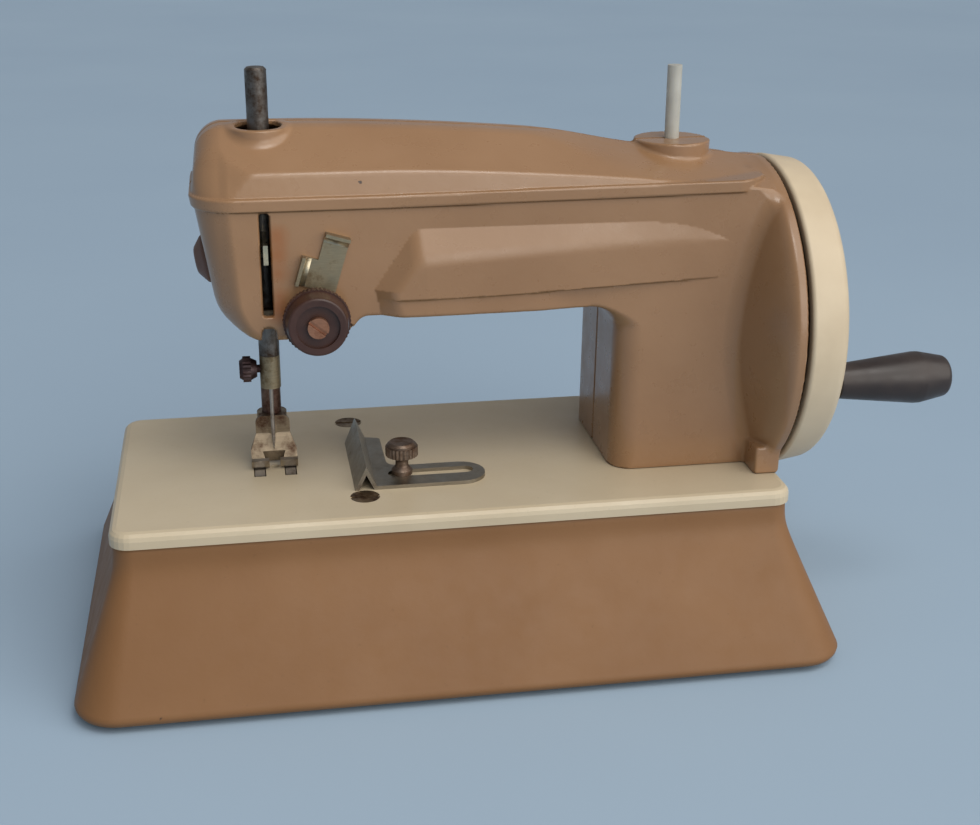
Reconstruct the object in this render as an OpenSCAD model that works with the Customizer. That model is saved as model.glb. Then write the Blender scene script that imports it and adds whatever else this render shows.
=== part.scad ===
// Hand-cranked toy chain-stitch sewing machine, in millimetres, +Z up.
// X runs along the arm, from the needle (-X) to the handwheel (+X), and Y away from the sewer.
// The pieces are drawn about the middle of the base; placed() then moves the whole
// machine so that its origin is the bottom centre of its bounding box.

/* [Base] */
// Length of the skirt at the floor
base_l = 240; // [230:1:256]
// Depth of the skirt at the floor
base_d = 152; // [140:1:168]
// Height of the skirt, without its feet
skirt_h = 45.3; // [43:0.1:50]
// Wall of the skirt
skirt_wall = 2.4; // [2:0.1:3]
// Corner radius of the skirt at the floor
base_corner_r = 14; // [10:1:18]
// Height of the straight band below the bed plate
neck_h = 5; // [4:0.5:7]
// How far the rubber feet stand below the skirt
foot_h = 1.5; // [1.2:0.1:3]
// Radius of a rubber foot
foot_r = 6.5; // [5:0.5:8]

/* [Bed plate] */
// Length of the bed plate
bed_l = 215.2; // [212:0.2:219]
// Depth of the bed plate
bed_d = 98.3; // [95:0.1:104]
// Height of the rim of the bed plate
bed_rim_h = 5; // [4.5:0.1:6]
// Sheet of the bed plate
bed_t = 1.8; // [1.4:0.1:2.2]
// Corner radius of the bed plate
bed_corner_r = 6.5; // [5:0.5:9]
// Rounding of the upper edge of the bed plate
bed_edge_r = 2.5; // [1.5:0.1:3]
// Distance of each bed screw from the plate's long edge
bed_screw_in = 16.6; // [14:0.1:20]
// Radius of a bed screw head
bed_screw_head_r = 4.7; // [4:0.1:5.5]

/* [Head] */
// How far the middle plane of the head lies behind the middle of the base
head_y = 3; // [1:0.5:5]
// Depth of the head, front face to rear face
body_d = 55; // [53:0.5:58]
// Wall of the head castings
body_wall = 2.6; // [2.2:0.1:3]
// Length of the pillar and collar along the arm
pillar_w = 53.6; // [51:0.2:56]
// Distance from the pillar to the needle
throat_l = 110; // [106:1:116]
// Height of the throat, bed to arm
throat_h = 56; // [54:0.5:58]
// Distance from the needle to the left end of the head
nose_l = 21.1; // [20:0.1:24]
// How far the needle head hangs below the arm
head_drop = 6.2; // [4:0.1:8]
// Height of the arm's side, up to the lip
arm_side_h = 34.6; // [33:0.1:37]
// Height of the raised lip round the roof
lip_h = 4; // [3:0.1:5]
// How far the lip stands proud
lip_proud = 0.9; // [0.6:0.1:1.4]
// Height of the roof above the lip, over the needle
roof_h = 18.1; // [16:0.1:20]
// How far the streamlined bulge stands out of the arm
bulge_proud = 4.5; // [3:0.1:6]
// Radius of the collar behind the handwheel
collar_r = 53; // [52:0.1:54]

/* [Handwheel and crank] */
// Height of the wheel axis above the bed
wheel_axis_h = 45; // [44.5:0.1:45.5]
// Largest radius of the handwheel
wheel_r = 53.2; // [52:0.1:54]
// Width of the handwheel
wheel_w = 14.2; // [13:0.1:16]
// Radius of the wheel axle
axle_r = 4; // [3.5:0.1:4.5]
// Distance of the crank handle from the wheel axis
handle_arm = 41.2; // [38:0.1:43]
// Length of the crank handle
handle_l = 37.9; // [34:0.1:44]
// Largest radius of the crank handle
handle_r = 8.5; // [7.5:0.1:9.5]
// Radius of the handle stud
handle_stud_r = 3; // [2.6:0.1:3.4]

/* [Gear train] */
// Tooth module of the gears
gear_module = 1; // [0.97:0.01:1.03]
// Teeth of the gear on the handwheel
wheel_teeth = 45; // [45:2:45]
// Teeth of the pinions that it drives
pinion_teeth = 15; // [15:2:15]
// Teeth of each of the two equal gears that lead down to the looper
idler_teeth = 27; // [27:2:27]
// Width of the gears
gear_w = 5; // [4:0.5:6]
// Radius of the arm shaft
arm_shaft_r = 3; // [2.6:0.1:3.4]
// Radius of the looper shaft
looper_shaft_r = 2.5; // [2.2:0.1:3]

/* [Needle bar] */
// Radius of the needle bar
needle_bar_r = 3.3; // [3:0.1:3.5]
// Radius of the needle crank, half the needle's stroke
crank_r = 8; // [7:0.1:8.5]
// How far the needle bar stands out of the roof at the top of its stroke
needle_bar_proud = 17.4; // [16.4:0.1:20]
// Height of the needle clamp above the bed at the top of the stroke
clamp_up_h = 28.3; // [27:0.1:30]
// Length of the needle below its clamp
needle_l = 22.5; // [21:0.1:24]
// How far the needle lies in front of the middle plane of the head
needle_fwd = 6; // [5.5:0.1:6.5]

/* [Presser] */
// Radius of the presser bar
presser_bar_r = 3.2; // [3:0.1:3.4]
// Distance between the needle bar and the presser bar
bar_gap = 10; // [9.8:0.1:10.4]
// Lift of the presser foot
presser_lift = 5; // [4:0.1:5.5]
// Width of the presser foot over its toes
foot_w = 15; // [13:0.5:16]

/* [Thread tension] */
// Radius of the tension knob
tension_knob_r = 10.3; // [9:0.1:11]
// Thickness of the tension knob
tension_knob_t = 8; // [7:0.1:9]
// Radius of the tension discs
tension_disc_r = 8.2; // [7:0.1:9]
// Radius of the tension stud
tension_stud_r = 2; // [1.8:0.1:2.4]

/* [Spool pin] */
// Radius of the spool pin
spool_pin_r = 2.35; // [2:0.05:2.8]
// Height of the spool pin above its seat
spool_pin_h = 23.2; // [20:0.1:28]

/* [Seam guide] */
// Sheet of the seam guide
guide_t = 1.2; // [1:0.1:1.5]
// Height of the ridge of the seam guide
guide_ridge_h = 8; // [7:0.1:9]
// Length of the ridge
guide_ridge_l = 44; // [41:1:46]
// Length of the slotted arm of the seam guide
guide_arm_l = 39.5; // [38:0.5:42]
// Width of the slotted arm
guide_arm_w = 16; // [14:0.5:18]
// Radius of the thumb screw's head
thumb_r = 5.3; // [4.5:0.1:6]

/* [Hidden] */
$fn = 64;
// Facets of the children of a hull
hull_fn = 32;
// Segments of a rounded corner of an outline
corner_steps = 6;
// Running clearance of a shaft in its bush, on the radius
fit_gap = 0.05;
// Clearance between pieces that only sit near each other
seat_gap = 0.3;
// How far a cut runs past what it cuts
overrun = 1;
// Thickness of the slices that a hull joins
slice = 0.02;

// Levels and main places
skirt_top_z = foot_h + skirt_h;
bed_z = skirt_top_z + bed_rim_h;
bed_under_z = bed_z - bed_t;
collar_edge_gap = 0.2;
collar_x1 = bed_l / 2 - collar_edge_gap;
pillar_x0 = collar_x1 - pillar_w;
needle_x = pillar_x0 - throat_l;
needle_y = head_y - needle_fwd;
presser_y = needle_y + bar_gap;
nose_x = needle_x - nose_l;
body_half = body_d / 2;
front_y = head_y - body_half;
rear_y = head_y + body_half;
arm_z0 = bed_z + throat_h;
head_z0 = arm_z0 - head_drop;
lip_z0 = arm_z0 + arm_side_h;
lip_z1 = lip_z0 + lip_h;
crest_z = lip_z1 + roof_h;
wheel_z = bed_z + wheel_axis_h;
wheel_gap = 1;
wheel_x0 = collar_x1 + wheel_gap;
wheel_x1 = wheel_x0 + wheel_w;
train_c = gear_module * (wheel_teeth + pinion_teeth) / 2;
idler_c = gear_module * idler_teeth;
arm_shaft_z = wheel_z + train_c;
idler_z = wheel_z - train_c;
looper_z = idler_z - idler_c;
handle_gap = 1;
handle_x0 = wheel_x1 + handle_gap;
handle_x1 = handle_x0 + handle_l;
// Rest angle of the crank, from +Y towards +Z
handle_angle = 199;
handle_y = head_y + handle_arm * cos(handle_angle);
handle_z = wheel_z + handle_arm * sin(handle_angle);
frame_x = -(handle_x1 - base_l / 2) / 2;

// Skirt details
bed_overhang = 0.9;
skirt_top_l = bed_l - 2 * bed_overhang;
skirt_top_d = bed_d - 2 * bed_overhang;
skirt_edge_r = 3;
neck_z = skirt_top_z - neck_h;
flare_start_h = 5;
flare_start_share = 0.06;
ledge_t = 2.4;
ledge_w = 6;
cover_t = 1.2;
cover_inset_h = 1;
cover_z = foot_h + cover_inset_h;
boss_r = 4;
bottom_screw_x = base_l / 2 - base_corner_r - boss_r - skirt_wall;
bottom_screw_y = bed_d / 2;
bottom_boss_h = 33;
screw_r = 1.5;
screw_head_r = 2.9;
screw_head_t = 1.8;
screw_grip = 9;
foot_place_x = bottom_screw_x - 2 * foot_r;
foot_place_y = bottom_screw_y;

// Bed plate details
bed_screw_side = 27.2;
bed_screw_x = needle_x + bed_screw_side;
bed_screw_span = bed_d - 2 * bed_screw_in;
bed_screw_y0 = 0.5;
bed_screw_r = 2.4;
bed_screw_cone_h = 2;
screw_slot_w = 1.2;
screw_slot_h = 1;
dog_offset = 5;
dog_slot_w = 3.9;
dog_slot_l = 17;
dog_slot_y_gap = 0.5;
dog_slot_y = needle_y + dog_slot_y_gap;
needle_hole_r = 1.5;
frame_bar_w = 10;
frame_bar_t = 3;
frame_bar_z1 = skirt_top_z - ledge_t;
frame_bar_z0 = frame_bar_z1 - frame_bar_t;

// Head details
seam_gap = 0.25;
nose_r = 13;
nose_lean = 7;
nose_chin_r = 15;
head_w = 44;
head_step_l = 11;
head_step_r = 5;
pillar_r = 8;
throat_fillet_r = 8;
arm_end_inset = 9.4;
arm_end_x = collar_x1 - arm_end_inset;
crease_h = 6.7;
crease_in = 1.6;
crease_end_share = 0.15;
crease_fall_start = 36;
crease_fall_power = 1.6;
roof_nose_drop = 5;
roof_fall_start = 6;
roof_fall_power = 1.7;
ridge_half = 6.4;
ridge_crown_h = 0.3;
roof_end_up = 1.7;
roof_end_back = 1.5;
nose_angles = [20, 45, 70, 90];
roof_run_shares = [0.3, 0.5, 0.68, 0.84];
roof_end_half_share = 0.66;
flare_l = 17.4;
flare_x0 = collar_x1 - flare_l;
collar_rim_w = 2.4;
flare_shares = [0, 0.3, 0.7, 1];
plinth_w = 8.6;
plinth_x0 = collar_x1 - plinth_w;
plinth_half = 38;
plinth_h = 9.5;
bay_half = 12;
bulge_start = 32;
bulge_x0 = needle_x + bulge_start;
bulge_end_gap = 19;
bulge_x1 = collar_x1 - bulge_end_gap;
bulge_low = 7.9;
bulge_step = 0.8;
bulge_band_in = 4;
bulge_band_l = 70;
bulge_high = 28;
bulge_slope_h = 8.5;
bulge_nose_l = 12;
bulge_blunt_r = 1.5;
bulge_tail_low = 10;
bulge_tail_high = 21;
slot_w = 3;
slot_h = 32;
slot_top_gap = 0.5;
notch_r = 2.2;
notch_h = 5;
bar_hole_r = 6.7;
bar_boss_r = 9;
bar_boss_drop = 0.2;
spool_seat_r = 12.3;
spool_seat_rise = 6.5;
spool_seat_z = wheel_z + collar_r + spool_seat_rise;
spool_inset = 22.6;
spool_x = pillar_x0 + spool_inset;
spool_stem_l = 6;
spool_stem_r = 1.8;
rib_t = 3;
roof_wall = 2.8;

// Screws of the rear cover: each is a share of the arm's or the pillar's length and height
cover_screw_x_shares = [0.42, 0.86];
cover_screw_low = 9;
cover_screw_high = 6;
pillar_screw_in = 12;
pillar_screw_h_share = 0.55;
cover_screw_places = [ [needle_x + throat_l * cover_screw_x_shares[0], arm_z0 + cover_screw_low],
    [needle_x + throat_l * cover_screw_x_shares[1], lip_z0 - cover_screw_high],
    [pillar_x0 + pillar_screw_in, bed_z + throat_h * pillar_screw_h_share]];
cover_screw_boss_r = 3.6;
cover_screw_head_depth = 2.2;

// Screws that hold the head on the bed
head_screw_in = 8;
head_screw_x0 = pillar_x0 + head_screw_in;
gear_plate_inset = 16;
gear_plate_x0 = collar_x1 - gear_plate_inset;
head_screw_x1 = gear_plate_x0 - head_screw_in;
head_screw_half = 19.5;
head_boss_h = 14;
hanger_t = 3;
hanger_w = 9;

// Gear plate, wheel, axle and handle
gear_plate_t = 2.5;
gear_plate_x1 = gear_plate_x0 + gear_plate_t;
gear_plate_half = body_half - body_wall - seat_gap;
gear_plate_top_gap = 1;
gear_plate_z1 = lip_z0 - gear_plate_top_gap;
gear_side_gap = 3.5;
gear_x0 = gear_plate_x1 + gear_side_gap;
gear_x1 = gear_x0 + gear_w;
axle_flange_r = 6.5;
axle_flange_t = 2.5;
axle_end_gap = 3;
axle_x1 = wheel_x1 - axle_end_gap;
hub_r = 8;
hub_side_gap = 0.6;
hub_x0 = gear_plate_x1 + hub_side_gap;
wheel_taper = 2.2;
wheel_edge_r = 4;
wheel_rim_t = 4;
wheel_web_t = 3;
wheel_face_w = 9;
wheel_dish = 3.6;
wheel_web_x1 = wheel_x1 - wheel_dish;
wheel_web_x0 = wheel_web_x1 - wheel_web_t;
handle_boss_r = 6.5;
handle_root_r = 5.6;
handle_end_r = 6.4;
handle_peak_share = 0.72;
handle_tip_r = 3;
stud_head_r = 4.2;
stud_head_t = 2;
stud_head_sink = 3;
axle_screw_head_r = 6;
axle_screw_head_t = 1.8;

// Shafts, crank and looper
pressure_angle = 20;
gear_backlash = 0.24;
tooth_addendum_share = 0.9;
tooth_dedendum_share = 1.25;
flank_shares = [0, 0.35, 0.7, 1];
arm_bush_r = 5.5;
arm_bush_l = 8;
arm_bush_place = 20;
arm_bush_x0 = needle_x + arm_bush_place;
crank_disc_t = 3.5;
crank_disc_gap = 0.5;
crank_disc_x1 = arm_bush_x0 - crank_disc_gap;
crank_disc_x0 = crank_disc_x1 - crank_disc_t;
crank_disc_rim = 4;
crank_pin_r = 2;
idler_shaft_r = 2.5;
idler_gear_x1 = gear_plate_x0 - gear_side_gap;
idler_gear_x0 = idler_gear_x1 - gear_w;
looper_side_gap = 2.2;
looper_t = 2;
looper_x1 = needle_x + looper_side_gap + looper_t;
looper_reach = 7.2;
looper_arm_w = 3;
looper_hub_r = 4.2;
feed_cam_r = 4.6;
feed_cam_offset = 1.2;
feed_cam_t = 3;

// Needle bar and presser details
yoke_h = 9;
yoke_hub_r = 4.9;
yoke_plate_t = 2;
yoke_gap = 0.6;
yoke_pin_l = 2.2;
yoke_x1 = crank_disc_x0 - yoke_pin_l;
yoke_x0 = yoke_x1 - yoke_plate_t;
yoke_slot_r = crank_pin_r + seat_gap;
yoke_end = 4;
take_up_t = 1.4;
take_up_h = 6;
take_up_drop = 9.4;
take_up_gap = 0.1;
take_up_eye_r = 1.1;
take_up_proud = 1;
clamp_h = 11;
clamp_z0 = bed_z + clamp_up_h;
clamp_z1 = clamp_z0 + clamp_h;
clamp_overlap = 5;
clamp_r = needle_bar_r;
needle_r = 0.6;
needle_point_l = 4;
clamp_screw_up = 6.2;
clamp_screw_z = clamp_z0 + clamp_screw_up;
clamp_screw_r = 1.3;
clamp_knob_r = 4.2;
clamp_knob_t = 5.6;
clamp_knob_gap = 0.9;
knurl_depth = 0.3;
bar_chamfer = 0.7;
guide_block_half = 6.2;
guide_flange_half = 7.6;
guide_flange_t = 3.4;
guide_ends = 5.4;
upper_guide_t = 4;
upper_guide_rise = 3;
upper_guide_z = lip_z0 + upper_guide_rise;
shelf_t = 3;
shelf_lap = 1.6;
presser_top_rise = 2;
presser_top_z = upper_guide_z + upper_guide_t + presser_top_rise;
presser_collar_r = 4.7;
presser_collar_t = 4.5;
presser_lug_w = 4;
cam_base_r = 3.6;
cam_gap = 0.3;
cam_w = 4;
lifter_up = 13;
lifter_z = head_z0 + lifter_up;
lifter_shaft_r = 2.5;
presser_collar_z = lifter_z + cam_base_r + cam_gap;
crank_reach_y = head_y + crank_r + yoke_slot_r + yoke_end;
cam_side_gap = 2;
cam_y0 = crank_reach_y + cam_side_gap;
lever_t = 2.5;
lever_l = 20;
lever_w = 7;
lever_gap = 0.6;
foot_sole_gap = 0.6;
foot_sheet = 1.2;
foot_shank_w = 11.2;
foot_socket_h = 7;
foot_sheet_in = 0.2;
foot_socket_r = 4.9;
foot_shank_h = 16;
foot_toe_rise = 3.4;
foot_toe_fwd = 3.6;
foot_gap_w = 3.6;
foot_vee_w = 7.4;
spring_wire_r = 0.5;
spring_turns = 7;
spring_coil_r = presser_bar_r + spring_wire_r + seat_gap;

// Feed details
feed_travel = 1.5;
dog_w = dog_slot_w - 2 * seat_gap;
dog_l = dog_slot_l - 2 * feed_travel - 2 * seat_gap;
dog_top = 0.25;
dog_tooth = 0.8;
dog_bridge_t = 1.5;
dog_bridge_w = 4.5;
dog_bridge_gap = 0.5;
dog_bridge_back = 6.6;
dog_bridge_y = needle_y + dog_bridge_back;
feed_rod_r = 2;
feed_rod_side = 15;
feed_rod_x = needle_x + feed_rod_side;
feed_rod_drop = 4.2;
feed_rod_z = bed_under_z - feed_rod_drop;
feed_block_half = 3;
feed_ear_t = 4;
feed_ear_gap = 1;

// Tension details
tension_side = 14.2;
tension_x = needle_x + tension_side;
tension_up = 2.2;
tension_z = arm_z0 + tension_up;
tension_plate_t = 1;
tension_disc_t = 1;
tension_disc_cone = 0.5;
tension_spring_l = 2;
tension_spring_turns = 1.5;
tension_wire_r = 0.3;
tension_flange_t = 2.4;
tension_ring_r = 6.6;
tension_ring_depth = 1.2;
tension_head_r = 3.2;
tension_head_t = 1.8;
tension_head_sink = 0.8;
tension_nut_r = 4;
tension_nut_t = 2.5;
tension_disc_y = front_y - tension_plate_t;
tension_knob_y = tension_disc_y - 2 * tension_disc_t - tension_spring_l;
guide_plate_w = 7.6;
guide_plate_l = 26;
guide_plate_tilt = 17;
guide_plate_lip = 3.4;
guide_tab_w = 5;
guide_tab_h = 9;

// Left end plug
plug_r = 7.7;
plug_t = 4.2;
plug_dome_r = 3;
plug_up = 12.7;
plug_stem_r = 3;
plug_stem_l = 5;

// Seam guide details
guide_side = 28.2;
guide_x = needle_x + guide_side;
guide_fwd = 3;
guide_y0 = front_y - guide_fwd;
guide_half_w = 3.8;
guide_slot_w = 5.2;
guide_slot_l = 28;
guide_slot_in = 4;
guide_slot_x0 = guide_x + guide_half_w + guide_slot_in;
guide_seat = 0.05;
guide_back_cut = 3;
ridge_plate_w = 8.2;
ridge_plate_r = 1.5;
guide_slot_back = 1.5;
thumb_in = 2;
thumb_x = guide_slot_x0 + guide_slot_w / 2 + thumb_in;
thumb_y = guide_y0 + guide_arm_w / 2 + guide_slot_back;
thumb_stem_r = 2;
thumb_neck_r = 2.1;
thumb_foot_r = 3.4;
thumb_h = 11;
thumb_head_t = 4.6;
thumb_foot_t = 1.4;
thumb_nut_r = 4.5;
thumb_nut_t = 3;

// Shares and small counts
knurl_pitch = 1.3;
skirt_edge_share = 0.3;
plug_seat = 0.04;
knob_band_share = 0.8;
knob_back_share = 0.35;
foot_bend_share = 0.62;
foot_sole_in = 1.6;
coil_sides = 6;
coil_rings = 16;
lift_angle = 90;
spring_place_share = 0.6;
arm_round_share = 0.98;

tan_paint = [0.55, 0.41, 0.3];
cream = [0.83, 0.77, 0.64];
dark_brown = [0.2, 0.15, 0.13];
steel = [0.62, 0.6, 0.57];
aged_brass = [0.5, 0.4, 0.28];
nylon = [0.9, 0.88, 0.82];
black_rubber = [0.1, 0.1, 0.1];

// Outlines
function unit(v) = v / norm(v);
function corner_arc(a, b, c, r) =
    let (u = unit(a - b), v = unit(c - b), half = acos(u * v) / 2,
        centre = b + unit(u + v) * r / sin(half),
         p0 = b + u * r / tan(half) - centre, p1 = b + v * r / tan(half) - centre,
         a0 = atan2(p0.y, p0.x), turn = (atan2(p1.y, p1.x) - a0 + 540) % 360 - 180)
    [for (i = [0:corner_steps]) centre + r
        * [cos(a0 + turn * i / corner_steps), sin(a0 + turn * i / corner_steps)]];
function flat(p) = [p.x, p.y];
function rounded(pts) = let (n = len(pts))
    [for (i = [0:n - 1]) each pts[i][2] > 0
        ? corner_arc(flat(pts[(i + n - 1) % n]), flat(pts[i]), flat(pts[(i + 1) % n]), pts[i][2])
        : [flat(pts[i])]];
function box_outline(l, d, r) =
    rounded([[-l / 2, -d / 2, r], [l / 2, -d / 2, r], [l / 2, d / 2, r], [-l / 2, d / 2, r]]);

// Prisms and rods along each axis
module along_x(x0, x1) {
    translate([x0, 0, 0]) rotate([90, 0, 90]) linear_extrude(x1 - x0) children();
}
module along_y(y0, y1) {
    translate([0, y1, 0]) rotate([90, 0, 0]) linear_extrude(y1 - y0) children();
}
module along_z(z0, z1) {
    translate([0, 0, z0]) linear_extrude(z1 - z0) children();
}
module rod_x(r, x0, x1, y, z) {
    translate([x0, y, z]) rotate([0, 90, 0]) cylinder(r = r, h = x1 - x0);
}
module bore_x(r, x0, x1, y, z) {
    rod_x(r, x0 - overrun, x1 + overrun, y, z);
}
module rod_y(r, y0, y1, x, z) {
    translate([x, y1, z]) rotate([90, 0, 0]) cylinder(r = r, h = y1 - y0);
}
module bore_y(r, y0, y1, x, z) {
    rod_y(r, y0 - overrun, y1 + overrun, x, z);
}
module rod_z(r, z0, z1, x, y) {
    translate([x, y, z0]) cylinder(r = r, h = z1 - z0);
}
module bore_z(r, z0, z1, x, y) {
    rod_z(r, z0 - overrun, z1 + overrun, x, y);
}
module block(x0, x1, y0, y1, z0, z1) {
    translate([x0, y0, z0]) cube([x1 - x0, y1 - y0, z1 - z0]);
}
module block_x(x, w, y0, y1, z0, z1) {
    block(x - w / 2, x + w / 2, y0, y1, z0, z1);
}
// Turned shapes: the profile's points are [radius, place along the axis]
module turned_x(y, z) {
    translate([0, y, z]) rotate([0, 90, 0]) rotate_extrude() children();
}
module turned_front(x, y, z) {
    translate([x, y, z]) rotate([90, 0, 0]) rotate_extrude() children();
}
module turned_z(x, y) {
    translate([x, y, 0]) rotate_extrude() children();
}
// A straight-knurled round outline
function knurl(r, teeth) = [for (i = [0:2 * teeth - 1])
    (r - (i % 2) * knurl_depth) * [cos(180 * i / teeth), sin(180 * i / teeth)]];
function knurl_teeth(r) = floor(2 * PI * r / knurl_pitch);

// Involute gear outline with a tooth on the +Y side of the drawing
function involute(angle) = tan(angle) * 180 / PI - angle;
function tooth_half(teeth, r) =
    let (pitch_r = gear_module * teeth / 2, base_r = pitch_r * cos(pressure_angle),
         at = acos(min(1, base_r / max(r, base_r))))
    90 / teeth - gear_backlash / 2 / pitch_r * 180 / PI / 2 + involute(pressure_angle) - involute(at);
function gear_outline(teeth) =
    let (pitch_r = gear_module * teeth / 2,
         root_r = pitch_r - gear_module * tooth_dedendum_share,
         low_r = max(root_r, pitch_r * cos(pressure_angle)),
         tip_r = pitch_r + gear_module * tooth_addendum_share,
         radii = [for (s = flank_shares) low_r + (tip_r - low_r) * s],
         rising = [for (r = radii) [r, -tooth_half(teeth, r)]],
         falling = [for (i = [len(radii) - 1:-1:0]) [radii[i], tooth_half(teeth, radii[i])]],
         foot = tooth_half(teeth, low_r),
         tooth = concat([[root_r, -foot]], rising, falling, [[root_r, foot]]))
    [for (k = [0:teeth - 1], p = tooth)
        p[0] * [cos(90 + 360 * k / teeth + p[1]), sin(90 + 360 * k / teeth + p[1])]];
module gear(teeth, x0, z, bore_r) {
    translate([0, head_y, z]) along_x(x0, x0 + gear_w) difference() {
        polygon(gear_outline(teeth));
        circle(r = bore_r);
    }
}

// Base
module skirt_slice(share, inset, z) {
    l = skirt_top_l + (base_l - skirt_top_l) * share - 2 * inset;
    d = skirt_top_d + (base_d - skirt_top_d) * share - 2 * inset;
    r = bed_corner_r + (base_corner_r - bed_corner_r) * share - inset;
    along_z(z, z + slice) polygon(box_outline(l, d, r));
}
module skirt_form(inset, extra) {
    along_z(neck_z, skirt_top_z + extra) polygon(box_outline(skirt_top_l - 2 * inset,
        skirt_top_d - 2 * inset, bed_corner_r - inset));
    hull() {
        skirt_slice(0, inset, neck_z);
        skirt_slice(flare_start_share, inset, neck_z - flare_start_h);
    }
    hull() {
        skirt_slice(flare_start_share, inset, neck_z - flare_start_h);
        skirt_slice(1, inset, foot_h + skirt_edge_r);
        skirt_slice(1, inset + skirt_edge_r * skirt_edge_share, foot_h + skirt_edge_r * skirt_edge_share);
        skirt_slice(1, inset + skirt_edge_r - extra, foot_h - extra);
    }
}
module base_skirt() {
    lip_l = bed_l - 2 * bed_t - 2 * seat_gap;
    lip_d = bed_d - 2 * bed_t - 2 * seat_gap;
    color(tan_paint) difference() {
        union() {
            difference() {
                skirt_form(0, 0);
                skirt_form(skirt_wall, overrun);
            }
            along_z(skirt_top_z - ledge_t, bed_under_z) difference() {
                polygon(box_outline(lip_l, lip_d, bed_corner_r - bed_t));
                polygon(box_outline(lip_l - 2 * ledge_w, lip_d - 2 * ledge_w, bed_corner_r - bed_t));
            }
            intersection() {
                for (sx = [-1, 1], sy = [-1, 1]) rod_z(boss_r, cover_z + cover_t, cover_z + bottom_boss_h,
                    sx * bottom_screw_x, sy * bottom_screw_y);
                skirt_form(skirt_wall / 2, 0);
            }
        }
        for (sx = [-1, 1], sy = [-1, 1]) rod_z(screw_r + fit_gap, 0, cover_z + cover_t + screw_grip
            + overrun, sx * bottom_screw_x, sy * bottom_screw_y);
    }
}
module bottom_cover() {
    share = (neck_z - flare_start_h - cover_z) / (neck_z - flare_start_h - foot_h - skirt_edge_r);
    l = skirt_top_l + (base_l - skirt_top_l) * share - 2 * skirt_wall - 2 * skirt_edge_r;
    d = skirt_top_d + (base_d - skirt_top_d) * share - 2 * skirt_wall - 2 * skirt_edge_r;
    color(steel) along_z(cover_z, cover_z + cover_t) difference() {
        polygon(box_outline(l, d, base_corner_r - skirt_wall));
        for (sx = [-1, 1], sy = [-1, 1]) translate([sx * bottom_screw_x, sy * bottom_screw_y])
            circle(r = screw_r + seat_gap);
    }
}
module bottom_screws() {
    color(steel) for (sx = [-1, 1], sy = [-1, 1]) translate([sx * bottom_screw_x, sy * bottom_screw_y, 0])
        {
        rod_z(screw_r, cover_z - screw_head_t, cover_z + cover_t + screw_grip, 0, 0);
        rod_z(screw_head_r, cover_z - screw_head_t, cover_z, 0, 0);
    }
}
module rubber_feet() {
    color(black_rubber) for (sx = [-1, 1], sy = [-1, 1]) rod_z(foot_r, 0, cover_z, sx * foot_place_x,
        sy * foot_place_y);
}

// Bed plate
module bed_form(inset, z0, z1) {
    hull() {
        along_z(z0, z1 - bed_edge_r) polygon(box_outline(bed_l - 2 * inset, bed_d - 2 * inset,
            bed_corner_r - inset));
        for (a = [30, 60, 90]) {
            in = inset + bed_edge_r * (1 - cos(a));
            along_z(z1 - bed_edge_r, z1 - bed_edge_r * (1 - sin(a))) polygon(box_outline(bed_l - 2 * in,
                bed_d - 2 * in, bed_corner_r - in));
        }
    }
}
module bed_screw_form(gap) {
    for (sy = [-1, 1]) translate([bed_screw_x, bed_screw_y0 + sy * bed_screw_span / 2, 0]) {
        rod_z(bed_screw_r + gap, frame_bar_z0, bed_z - bed_screw_cone_h, 0, 0);
        translate([0, 0, bed_z - bed_screw_cone_h]) cylinder(r1 = bed_screw_r + gap, r2 = bed_screw_head_r
            + gap, h = bed_screw_cone_h);
    }
}
module bed_plate() {
    color(cream) difference() {
        bed_form(0, skirt_top_z, bed_z);
        along_z(skirt_top_z - overrun, bed_under_z) polygon(box_outline(bed_l - 2 * bed_t,
            bed_d - 2 * bed_t, bed_corner_r - bed_t));
        bed_screw_form(fit_gap);
        for (s = [-1, 1]) block(needle_x + s * dog_offset - dog_slot_w / 2, needle_x + s * dog_offset
            + dog_slot_w / 2, dog_slot_y - dog_slot_l / 2, dog_slot_y + dog_slot_l / 2,
            bed_under_z - overrun, bed_z + overrun);
        bore_z(needle_hole_r, bed_under_z, bed_z, needle_x, needle_y);
        bore_z(thumb_stem_r + seat_gap, bed_under_z, bed_z, thumb_x, thumb_y);
        block(idler_gear_x0 - seat_gap * 3, idler_gear_x1 + seat_gap * 3, head_y - bay_half,
            head_y + bay_half, bed_under_z - overrun, bed_z + overrun);
        head_screw_holes(bed_under_z - overrun, bed_z + overrun, screw_r + seat_gap);
    }
}
module bed_screws() {
    color(aged_brass) difference() {
        bed_screw_form(0);
        for (sy = [-1, 1]) translate([bed_screw_x, bed_screw_y0 + sy * bed_screw_span / 2, bed_z])
            cube([3 * bed_screw_head_r, screw_slot_w, 2 * screw_slot_h], center = true);
    }
}

// Head castings
function fall_share(x, start, end) = max(0, x - needle_x - start) / (end - needle_x - start);
function roof_crest(x) = crest_z - (crest_z - wheel_z - collar_r - roof_end_up)
    * pow(fall_share(x, roof_fall_start, collar_x1), roof_fall_power);
function roof_crease(x) = lip_z1 + crease_h
    * (1 - (1 - crease_end_share) * pow(fall_share(x, crease_fall_start, arm_end_x), crease_fall_power));
module roof_slice(x, half, crest, crease, floor_z) {
    edge_z = max(crease, floor_z + ridge_crown_h);
    right = [[half, floor_z], [half - crease_in, edge_z], [ridge_half, crest],
        [0, crest + ridge_crown_h]];
    left = [for (i = [len(right) - 2:-1:0]) [-right[i].x, right[i].y]];
    along_x(x, x + slice) translate([head_y, 0]) polygon(concat(right, left));
}
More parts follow.
